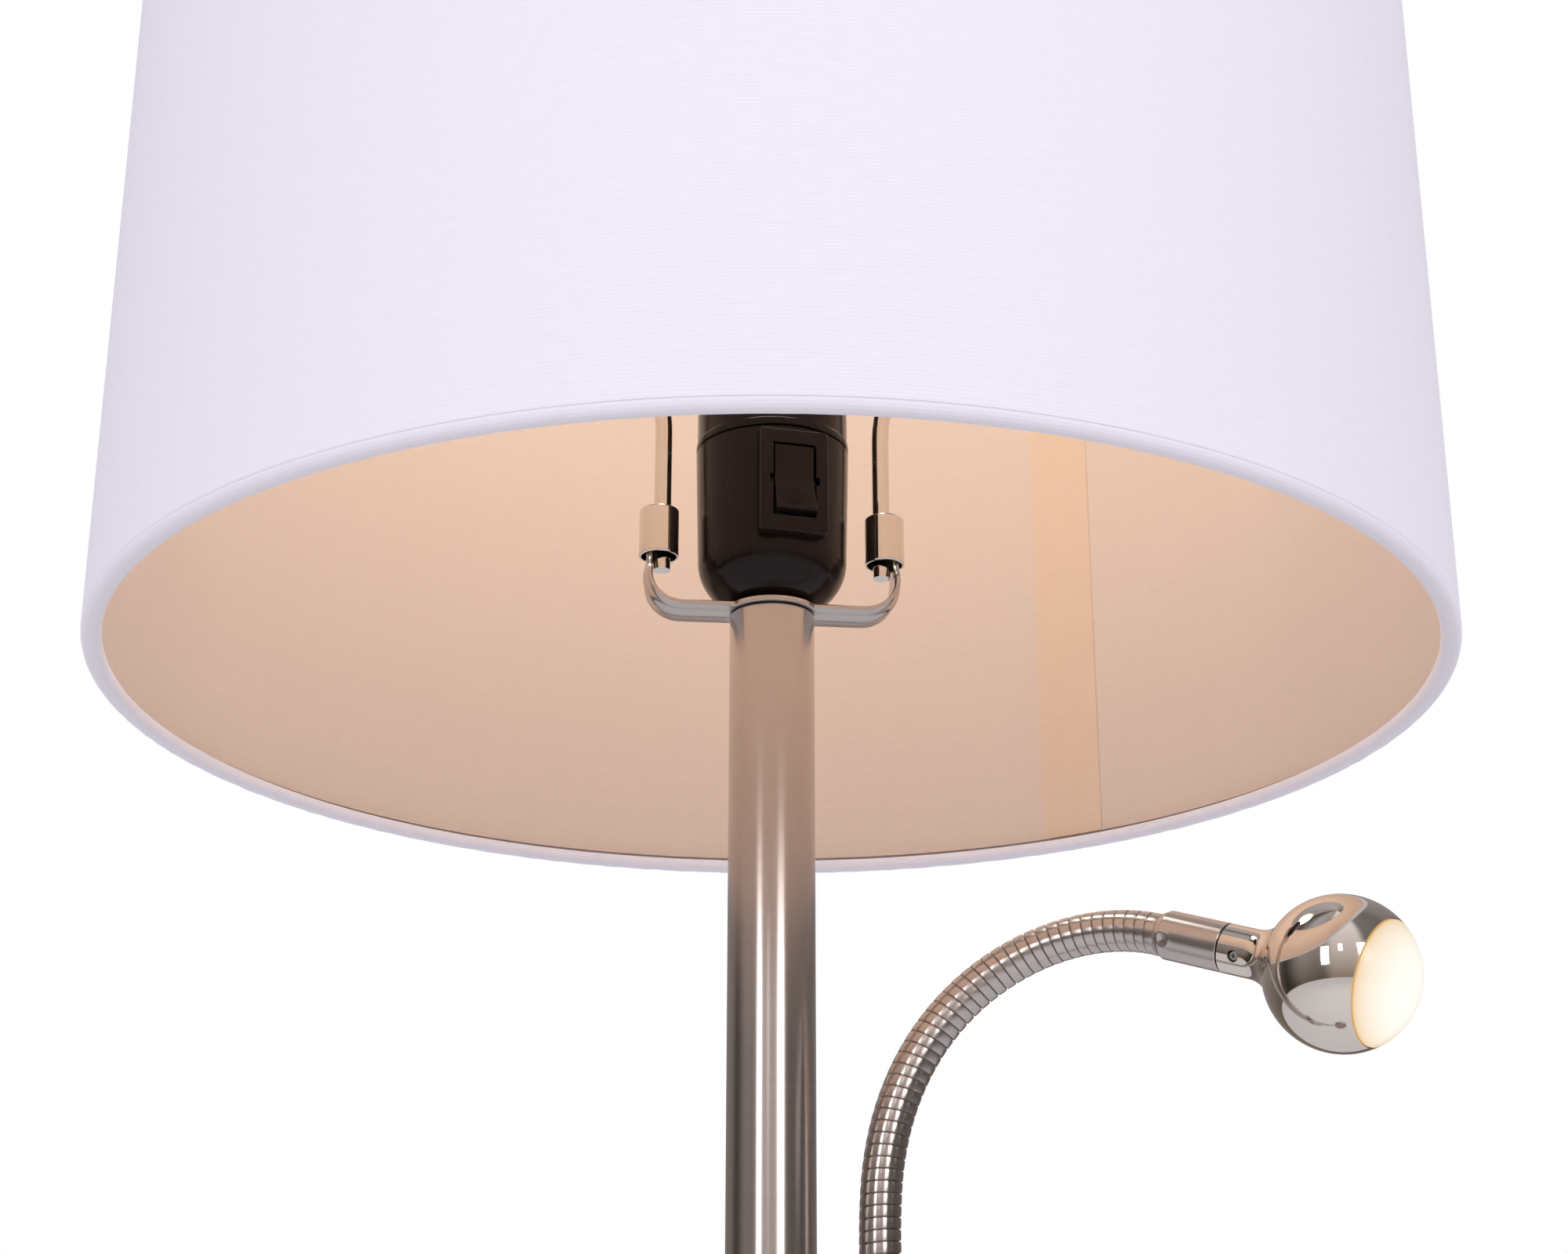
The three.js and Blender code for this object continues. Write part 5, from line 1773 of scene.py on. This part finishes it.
    def spider(self, shop: Workshop) -> bpy.types.Object:
        """Builds the top ring, its three spokes and the washer that sits on the harp.

        Args:
            shop: the workshop that it is built in.

        Returns:
            The spider.
        """
        ring_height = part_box("shade_spider")[1].z - self.wire
        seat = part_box("finial")[0].z - 0.3 * MM - self.hub_thickness
        piece = self.ring(shop, "shade_spider_wire", ring_height)
        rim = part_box("shade_fabric")[1].x - self.hem
        start = seat + self.hub_thickness - self.wire - self.sink
        end = ring_height - self.wire - self.sink
        lift = start + self.spoke_lift * (end - start)
        bend = (self.spoke_run + rim) / 2
        parts = [piece]
        for i in range(self.spokes):
            a = math.radians(90 + 360 * i / self.spokes)
            corners = ((self.spoke_run, start), (bend, start), (bend, lift), (rim, end))
            rise = [polar(r, a, z) for r, z in corners]
            curve = [polar(self.hub - self.weld, a, start), *bezier(rise, 24), rise[-1]]
            parts.append(shop.wire(f"spoke_{i}", curve, self.wire, Slot.STEEL))
        washer = tube(self.hub, self.hub_bore, seat, seat + self.hub_thickness, 0.3 * MM)
        parts.append(turned("washer", washer, 72))
        with bpy.context.temp_override(active_object=piece, selected_editable_objects=parts):
            bpy.ops.object.join()
        return fill_lay(piece, Matrix())

    def build(self, shop: Workshop) -> None:
        """Builds and dresses the shade.

        Args:
            shop: the workshop that it is built in.
        """
        cloth_low, cloth_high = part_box("shade_fabric")
        liner_low, liner_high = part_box("shade_liner")
        rim_low, rim_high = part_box("shade_hem_bottom")[0].z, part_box("shade_hem_top")[1].z
        cloth = self.panel("shade_cloth", cloth_high.x, cloth_low.z, cloth_high.z, True)
        liner = self.panel("shade_lining", liner_high.x, liner_low.z, liner_high.z, False)
        bottom = self.rim("shade_hem_bottom_rolled", rim_low, 1, 200.0)
        top = self.rim("shade_hem_top_rolled", rim_high, -1, 150.0)
        shop.settle(cloth, Slot.FABRIC, "shade", "shade_fabric")
        shop.settle(liner, Slot.LINER, "shade", "shade_liner")
        shop.settle(bottom, Slot.FABRIC, "shade", "shade_hem_bottom")
        shop.settle(top, Slot.FABRIC, "shade", "shade_hem_top")
        ring = self.ring(shop, "shade_ring_bottom_wire", rim_low + self.hem)
        shop.settle(fill_lay(ring, Matrix()), Slot.STEEL, "shade", "shade_ring_bottom")
        shop.settle(self.spider(shop), Slot.STEEL, "shade", "shade_spider")


# ---- Reading arm and head -------------------------------------------------------------------------


@dataclass
class ArmMount:
    """The hub on the pole, the arm's foot and the push switch under it."""

    hub_wall: float = 4.5 * MM
    boss: float = 9 * MM
    tail: float = 5 * MM
    arm: float = 4.4 * MM
    arm_bore: float = 2.2 * MM
    clear: float = 0.3 * MM
    foot_floor: float = 4 * MM
    housing_wall: float = 1.4 * MM
    housing_hole: float = 3.8 * MM
    button_face: float = 3.5 * MM
    plunger: float = 1.5 * MM

    def __post_init__(self) -> None:
        """Reads the arm's axis."""
        self.x = joint("arm_swivel")["pos_m"][0]
        self.here = Matrix.Translation((self.x, 0, 0))

    def hub(self) -> bpy.types.Object:
        """Builds the clamp-shaped hub with its three holes.

        Returns:
            The hub.
        """
        low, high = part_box("arm_hub")
        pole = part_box("pole_tube_3")[1].x
        big = pole + self.hub_wall
        lean = math.acos((big - self.boss) / self.x)
        outline = [polar(big, lean + (math.tau - 2 * lean) * i / 64).xy[:] for i in range(65)]
        for a in (-lean + 2 * lean * i / 40 for i in range(41)):
            outline.append((self.x + self.boss * math.cos(a), self.boss * math.sin(a)))
        half_height = Matrix.Translation((0, 0, (low.z + high.z) / 2))
        body = extruded("arm_hub_cast", outline, high.z - low.z, 0.7 * MM, half_height)
        beyond = 5 * MM
        for radius, place in ((pole, Matrix()), (self.tail, self.here)):
            drilled(body, radius + self.clear, low.z - beyond, high.z + beyond, 72, place)
        screw_low, screw_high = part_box("hub_screw")
        radius = (screw_high.y - screw_low.y) / 2 + self.clear
        centre = Vector((0, 0, (screw_low.z + screw_high.z) / 2))
        drilled(body, radius, 0.0, 20 * MM, 36, facing(centre, Vector((-1, 0, 0)), UP))
        return fill_lay(body, Matrix())

    def screw(self) -> bpy.types.Object:
        """Builds the grub screw with its hexagonal socket.

        Returns:
            The screw.
        """
        low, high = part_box("hub_screw")
        inner = Vector((high.x, 0, (low.z + high.z) / 2))
        return grub_screw("hub_screw_cut", inner, Vector((-1, 0, 0)), high.x - low.x, (high.y - low.y) / 2)

    def foot(self) -> bpy.types.Object:
        """Builds the collar that carries the arm and turns in the hub.

        Returns:
            The foot.
        """
        low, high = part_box("arm_foot")
        flange = (high.x - low.x) / 2
        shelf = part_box("arm_hub")[1].z + self.clear
        socket = self.arm + self.clear
        floor, waist = shelf + self.foot_floor, flange - 0.35 * MM
        outline = [(self.arm_bore, low.z), (self.tail, low.z), (self.tail, shelf), (flange - 0.3 * MM, shelf)]
        outline += [(flange, shelf + 0.3 * MM), (flange, high.z - 2.6 * MM), (waist, high.z - 2.4 * MM)]
        outline += [(waist, high.z - 2.0 * MM), (flange, high.z - 1.8 * MM), (flange - 1 * MM, high.z)]
        outline += [(socket, high.z), (socket, floor), (self.arm_bore, floor)]
        return turned("arm_foot_turned", softened(outline, 0.25 * MM), 96, self.here)

    def housing(self) -> bpy.types.Object:
        """Builds the cup that holds the push switch.

        Returns:
            The housing.
        """
        low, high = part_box("switch_housing")
        outer, wall, hole = (high.x - low.x) / 2, self.housing_wall, self.housing_hole
        inner, chamfer = outer - wall, 2 * MM
        outline = [(hole, low.z), (outer - chamfer, low.z), (outer, low.z + chamfer), (outer, high.z)]
        outline += [(inner, high.z), (inner, low.z + wall + 0.6 * MM), (hole, low.z + wall)]
        return turned("switch_housing_turned", softened(outline, 0.5 * MM), 96, self.here)

    def button(self) -> bpy.types.Object:
        """Builds the push button, flange and plunger.

        Returns:
            The button.
        """
        low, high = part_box("switch_button")
        face, flange, plunger = self.button_face, (high.x - low.x) / 2, self.plunger
        shelf = high.z - 4.1 * MM
        step = shelf + 1.5 * MM
        outline = [(0.0, low.z + 0.25 * MM), (1.6 * MM, low.z + 0.15 * MM), (2.4 * MM, low.z)]
        outline += [(face - 0.4 * MM, low.z), (face, low.z + 0.5 * MM), (face, shelf), (flange, shelf)]
        outline += [(flange, step), (plunger, step), (plunger, high.z), (0.0, high.z)]
        return turned("switch_button_moulded", softened(outline, 0.3 * MM), 64, self.here)

    def build(self, shop: Workshop) -> None:
        """Builds and dresses the arm's mount.

        Args:
            shop: the workshop that it is built in.
        """
        shop.settle(self.hub(), Slot.NICKEL, "stand", "arm_hub")
        shop.settle(self.screw(), Slot.STEEL, "stand", "hub_screw")
        shop.settle(self.foot(), Slot.NICKEL, "arm_base", "arm_foot")
        shop.settle(self.housing(), Slot.NICKEL, "stand", "switch_housing")
        shop.settle(self.button(), Slot.PHENOLIC, "switch_button", "switch_button")


def grub_screw(name: str, inner: Vector, along: Vector, length: float, radius: float) -> bpy.types.Object:
    """Builds a grub screw with a hexagonal socket in its outer end.

    Args:
        name: the screw's name.
        inner: the middle of its inner end.
        along: the direction of its outer end.
        length: its length.
        radius: its radius.

    Returns:
        The screw.
    """
    chamfer, start, run = 0.12 * radius, 0.3 * radius, length - 0.45 * radius
    outline = [(0.0, 0.0), (0.55 * radius, 0.0), (radius - chamfer, start)]
    turns = max(3, int(length / (0.32 * radius)))
    for z in (start + run * i / turns for i in range(turns)):
        outline += [(radius, z + 0.04 * radius), (0.9 * radius, z + run * 0.5 / turns)]
    outline += [(radius, length - chamfer), (radius - chamfer, length), (0.0, length)]
    place = facing(inner, along, UP if abs(along.z) < 0.9 else Vector((1, 0, 0)))
    body = turned(name, outline, 36, place)
    hexagon = [polar(0.5 * radius, math.tau * i / 6).xy[:] for i in range(6)]
    outer_end = place @ Matrix.Translation((0, 0, length))
    combined(body, extruded("hex_socket", hexagon, 1.8 * radius, 0.0, outer_end), Cut.TAKE)
    return fill_lay(body, place)


@dataclass
class Gooseneck:
    """The strip-wound arm, in one stretch for each joint that it bends at."""

    pitch: float = 2.5 * MM
    radius: float = 4.4 * MM
    depth: float = 0.42 * MM
    crown: float = 0.07 * MM
    gap_share: float = 0.085
    sides: int = 40
    rows: int = 10
    spread: float = 3.4 * MM
    tail: float = 2 * MM

    def __post_init__(self) -> None:
        """Reads the joints and lays the arm's centre line through them."""
        numbers = ("", *(f"_{i}" for i in range(2, 6)))
        self.hinges = [joint(f"{group}_bend{number}") for group in ("arm", "tip") for number in numbers]
        knots = [Vector(hinge["pos_m"]) for hinge in self.hinges]
        self.foot = Vector((knots[0].x, knots[0].y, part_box("arm_stem")[0].z))
        self.link = (knots[1] - knots[0]).length
        last = (knots[-1] - knots[-2]).normalized()
        before = (knots[-2] - knots[-3]).normalized()
        way_out = (before.rotation_difference(last) @ last).normalized()
        self.corners = [knots[0] - UP * self.link, *knots, knots[-1] + way_out * self.link]

    def centre_line(self) -> tuple[list[Vector], list[float]]:
        """Lays out the arm's smooth centre line.

        Returns:
            The points, and the length along them at the middle of each link.
        """
        middles = [(a + b) / 2 for a, b in zip(self.corners, self.corners[1:])]
        ways = [(b - a).normalized() for a, b in zip(self.corners, self.corners[1:])]
        stem, chords = 60, 12
        points = [self.foot.lerp(middles[0], i / stem) for i in range(stem)]
        for (p, u), (q, v) in zip(zip(middles, ways), zip(middles[1:], ways[1:])):
            handle = (q - p).length / 3
            points += bezier((p, p + u * handle, q - v * handle, q), chords)
        points.append(middles[-1])
        lengths = [0.0]
        for p, q in zip(points, points[1:]):
            lengths.append(lengths[-1] + (q - p).length)
        return points, lengths[stem::chords]

    def stretch(self, shop: Workshop, name: str, start: float, end: float) -> bpy.types.Object:
        """Builds one stretch of the arm.

        Args:
            shop: the workshop.
            name: the stretch's name.
            start: length along the centre line where it starts.
            end: length where it ends.

        Returns:
            The stretch.
        """
        first = math.floor(start / self.pitch) - 2
        values = {
            "Path": self.path,
            "Start": start,
            "End": end,
            "First Turn": first,
            "Turns": math.ceil(end / self.pitch) + 1 - first,
            "Rows": self.rows,
            "Sides": self.sides,
            "Pitch": self.pitch,
            "Radius": self.radius,
            "Depth": self.depth,
            "Crown": self.crown,
            "Gap Share": self.gap_share,
            "Finish": shop.book.made[Slot.NICKEL],
        }
        return self.tree.run(name, values)

    def build(self, shop: Workshop) -> None:
        """Builds and dresses the arm.

        Args:
            shop: the workshop that it is built in.
        """
        self.tree = gooseneck_tree()
        points, marks = self.centre_line()
        self.path = curve_through("gooseneck_path", points)
        shop.settle(self.stretch(shop, "gooseneck_stem", 0.0, marks[0]), Slot.NICKEL, "arm_base", "arm_stem")
        for number, (hinge, before, after) in enumerate(zip(self.hinges, self.corners, self.corners[2:]), 1):
            is_last = number == len(self.hinges)
            start = marks[number - 1]
            end = start + self.link / 2 + self.tail if is_last else marks[number]
            piece = self.stretch(shop, f"gooseneck_{number}", start, end)
            if not is_last:
                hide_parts(f"arm_link_{number}")
            shop.blended(piece, Slot.NICKEL, hinge)
        bpy.data.objects.remove(self.path)


@dataclass
class ReadingHead:
    """The sleeve, the polished ball head, its lens and its set screw."""

    sleeve: float = 5.2 * MM
    cone: float = 1.4 * MM
    bore: float = 2.2 * MM
    arm: float = 4.4 * MM
    sleeve_length: float = 16.5 * MM
    end_gap: float = 0.6 * MM
    dimple: float = 1.5 * MM
    dimple_depth: float = 0.5 * MM
    dimple_place: float = 3.6 * MM
    dimple_lip: float = 0.07 * MM
    cone_lean: float = 15.0
    edge: float = 0.15 * MM
    ball: float = 15.95 * MM
    ball_reach: float = 42.9 * MM
    wall: float = 1.2 * MM
    rim: float = 0.572
    fillet: float = 8 * MM
    gap: float = 0.3 * MM
    screw_place: float = 4 * MM
    screw_radius: float = 0.95 * MM
    screw_length: float = 2.2 * MM

    def __post_init__(self) -> None:
        """Reads where the head starts, the way it points and the side that its screw is on."""
        self.start = Vector(joint("tip_bend_5")["pos_m"])
        self.along = (middle("lens") - self.start).normalized()
        side = middle("head_screw") - self.start
        self.side = (side - self.along * side.dot(self.along)).normalized()
        self.place = facing(self.start, self.along, self.side)

    def sleeve_piece(self) -> bpy.types.Object:
        """Builds the sleeve with its coned start and its crimp dimple.

        Returns:
            The sleeve.
        """
        slope = math.tan(math.radians(self.cone_lean))
        lip = self.bore + 0.4 * MM
        rise = self.end_gap + (self.arm - lip) * slope
        cone_top = rise + self.cone
        outline = [(self.bore, self.end_gap), (lip, self.end_gap), (self.arm + 0.05 * MM, rise)]
        outline += [(self.sleeve - 0.08 * MM, cone_top), (self.sleeve, cone_top + self.edge)]
        stretch = self.sleeve_length - cone_top - 3 * self.edge
        outline += [(self.sleeve, cone_top + 2 * self.edge + stretch * i / 48) for i in range(48)]
        top, edge = self.sleeve_length, self.edge
        outline += [(self.sleeve, top - edge), (self.sleeve - edge, top), (self.bore, top)]
        piece = turned("head_sleeve_brushed", outline, 160)
        mesh = piece.data
        co = coordinates(mesh)
        away = np.linalg.norm(co - np.array([self.sleeve, 0.0, self.dimple_place]), axis=1)
        sink = np.clip(1 - (away / self.dimple) ** 2, 0, 1) ** 1.5 * self.dimple_depth
        crest = (away - 1.15 * self.dimple) / (0.3 * self.dimple)
        lifted = np.exp(-(crest**2)) * self.dimple_lip
        skin = np.hypot(co[:, 0], co[:, 1]) > self.arm
        co[:, 0] += np.where(skin, lifted - sink, 0.0)
        mesh.vertices.foreach_set("co", co.ravel())
        mesh.transform(self.place)
        mesh.update()
        return piece

    def shell(self) -> bpy.types.Object:
        """Builds the polished neck and ball with the hole for its screw.

        Returns:
            The shell.
        """
        centre = self.ball_reach
        neck = self.sleeve_length + self.gap
        reach = self.ball + self.fillet
        fillet_r = self.sleeve + self.fillet
        fillet_z = centre - math.sqrt(reach * reach - fillet_r * fillet_r)
        meet = math.degrees(math.atan2(centre - fillet_z, -fillet_r))
        start = math.degrees(math.atan2(fillet_z - centre, fillet_r))
        rim = math.degrees(math.asin(self.rim))
        inner = self.ball - self.wall
        inner_rim = math.degrees(math.asin(self.rim * self.ball / inner))
        inner_start = -math.degrees(math.acos(self.bore / inner))
        outline = [(self.bore, neck), (self.sleeve - self.edge, neck), (self.sleeve, neck + self.edge)]
        outline += arc(fillet_r, fillet_z, self.fillet, 180, meet, 14)
        outline += arc(0.0, centre, self.ball, start, rim, 64)[1:]
        outline += arc(0.0, centre, inner, inner_rim, inner_start, 24)
        piece = turned("head_shell_polished", outline, 160)
        at = facing(Vector((0, 0, neck + self.screw_place)), Vector((1, 0, 0)), UP)
        drilled(piece, self.screw_radius + self.gap, 0.0, 20 * MM, 32, at)
        piece.data.transform(self.place)
        return fill_lay(piece, self.place)

    def lens(self) -> bpy.types.Object:
        """Builds the domed lens.

        Returns:
            The lens.
        """
        low = self.rim * self.ball + self.gap

        def skin(radius: float) -> Outline:
            """Half of a dome's section.

            Args:
                radius: the dome's radius.

            Returns:
                The outline, from its edge to its crown.
            """
            edge = math.degrees(math.asin(low / radius))
            return arc(0.0, self.ball_reach, radius, edge, 90, 32)[:-1] + [(0.0, self.ball_reach + radius)]

        piece = turned("lens_frosted", skin(self.ball) + skin(self.ball - self.wall)[::-1], 128, self.place)
        return set_glow(piece, self.along)

    def screw(self) -> bpy.types.Object:
        """Builds the tiny set screw in the neck.

        Returns:
            The screw.
        """
        inner = self.sleeve - 0.4 * MM - self.screw_length
        at = self.place @ Vector((inner, 0, self.sleeve_length + self.gap + self.screw_place))
        return grub_screw("head_screw_cut", at, self.side, self.screw_length, self.screw_radius)

    def build(self, shop: Workshop) -> None:
        """Builds and dresses the head.

        Args:
            shop: the workshop that it is built in.
        """
        shop.settle(self.sleeve_piece(), Slot.NICKEL, "reading_head", "head_sleeve")
        shop.settle(self.shell(), Slot.CHROME, "reading_head", "head_shell")
        shop.settle(self.lens(), Slot.LENS, "reading_head", "lens")
        shop.settle(self.screw(), Slot.STEEL, "reading_head", "head_screw")


# ---- Studio ---------------------------------------------------------------------------------------


@dataclass(frozen=True)
class Softbox:
    """A rectangular area light."""

    name: str
    place: tuple[float, float, float]
    target: tuple[float, float, float]
    size: tuple[float, float]
    power: float
    colour: Colour = (1.0, 1.0, 1.0)

    def build(self) -> None:
        """Adds the light to the scene."""
        data = bpy.data.lights.new(self.name, "AREA")
        data.shape = "RECTANGLE"
        data.size, data.size_y = self.size
        data.energy, data.color = self.power, self.colour
        made = linked(self.name, data)
        made.location = self.place
        way = Vector(self.target) - Vector(self.place)
        made.rotation_euler = way.to_track_quat("-Z", "Y").to_euler()


@dataclass
class Studio:
    """The camera, the lights, the pale floor and the white surround."""

    camera_place: tuple[float, float, float] = (0.0027, -0.563, 1.075)
    pitch: float = 20.7
    lens: float = 61.34
    sensor: float = 36.0
    ambient: float = 0.76
    ambient_tint: Colour = (0.955, 0.935, 1.0)
    mirrored: float = 0.40
    sky: tuple[float, float] = (-0.35, 0.9)
    low_tint: Colour = (0.19, 0.145, 0.115)
    high_tint: Colour = (0.62, 0.57, 0.575)
    walls: tuple[tuple[float, float], ...] = (
        (0.0, 1.9),
        (55.0, 1.5),
        (82.0, 0.35),
        (112.0, 1.7),
        (140.0, 1.4),
        (160.0, 3.4),
        (196.0, 3.4),
        (212.0, 0.85),
        (262.0, 0.7),
        (305.0, 1.1),
        (360.0, 1.9),
    )
    floor_radius: float = 3.8

    def camera(self) -> None:
        """Adds the camera, below the shade and looking up at it."""
        data = bpy.data.cameras.new("camera")
        data.lens, data.sensor_width = self.lens, self.sensor
        data.clip_start, data.clip_end = 0.01, 100
        made = linked("camera", data)
        made.location = self.camera_place
        made.rotation_euler = (math.radians(90 + self.pitch), 0, 0)
        bpy.context.scene.camera = made

    def room(self, sky: NodeTree) -> bpy.types.NodeSocket:
        """Draws the room that bright pieces mirror: paler upwards, with walls of differing brightness.

        Args:
            sky: the surround's tree.

        Returns:
            The room's colour.
        """
        way = sky.separate(sky.node("ShaderNodeTexCoord").outputs["Generated"])
        height = sky.blend(sky.remap(way["Z"], self.sky, (0.0, 1.0)), self.low_tint, self.high_tint)
        bearing = sky.math("ARCTAN2", way["X"], sky.math("MULTIPLY", way["Y"], -1.0))
        turn = sky.remap(bearing, (-math.pi, math.pi), (0.0, 1.0))
        walls = sky.node("ShaderNodeValToRGB", {"Fac": turn})
        walls.color_ramp.interpolation = "EASE"
        stops = walls.color_ramp.elements
        for number, (azimuth, bright) in enumerate(self.walls):
            place = azimuth / 360
            stop = stops[number] if number < len(stops) else stops.new(place)
            stop.position, stop.color = place, (bright, bright, bright, 1.0)
        return sky.multiplied(height, walls.outputs["Color"], 1.0)

    def surround(self) -> None:
        """Makes the surround white to the camera and dimmer to everything that it lights."""
        world = bpy.data.worlds.new("surround")
        world.use_nodes = True
        world.node_tree.nodes.clear()
        sky = NodeTree(world.node_tree)
        path = sky.node("ShaderNodeLightPath").outputs
        seen, lit, shown = (
            sky.node("ShaderNodeBackground", {"Color": colour, "Strength": strength}).outputs[0]
            for colour, strength in (
                ((1.0, 1.0, 1.0, 1.0), 1.0),
                ((*self.ambient_tint, 1.0), self.ambient),
                (self.room(sky), self.mirrored),
            )
        )
        plain = sky.node("ShaderNodeMixShader", {0: path["Is Glossy Ray"], 1: lit, 2: shown}).outputs[0]
        mix = sky.node("ShaderNodeMixShader", {0: path["Is Camera Ray"], 1: plain, 2: seen}).outputs[0]
        sky.node("ShaderNodeOutputWorld", {0: mix})
        bpy.context.scene.world = world
        bpy.context.scene.view_settings.view_transform = "Standard"

    def floor(self) -> None:
        """Lays the pale floor."""
        shader = Shader("pale_floor")
        grain = shader.noise(shader.object_coords(), 30.0, 4.0)
        shader.surface(Roughness=0.7, Base_Color=shader.blend(grain, (0.80, 0.79, 0.78), (0.84, 0.83, 0.82)))
        slab = turned("floor", rod(self.floor_radius, -10 * MM, 0.0), 96)
        slab.data.materials.append(shader.material)

    def lights(self) -> None:
        """Adds the softboxes."""
        aim = (0.0, 0.0, 1.25)
        for box in (
            Softbox("window_left", (-1.10, -1.83, 1.78), aim, (0.42, 1.0), 5.6, (1.0, 0.98, 1.0)),
            Softbox("window_middle", (-0.28, -1.99, 2.14), aim, (0.22, 0.4), 0.6, (1.0, 0.98, 1.0)),
            Softbox("window_right", (0.894, -1.92, 1.857), aim, (0.62, 1.0), 8.4, (1.0, 0.97, 0.96)),
        ):
            box.build()

    def build(self) -> None:
        """Builds the studio."""
        self.camera()
        self.surround()
        self.floor()
        self.lights()


def main() -> None:
    """Builds the studio, then each sub-assembly of the lamp in order."""
    logging.basicConfig(level=logging.INFO, format="%(message)s")
    Studio().build()
    book = FinishBook()
    book.dress_frame()
    shop = Workshop(book, wire_tree())
    for assembly in (Base(), Pole(), Harp(), Socket(), Shade(), ArmMount(), Gooseneck(), ReadingHead()):
        log.info("-- %s", type(assembly).__name__)
        assembly.build(shop)


if __name__ == "__main__":
    main()
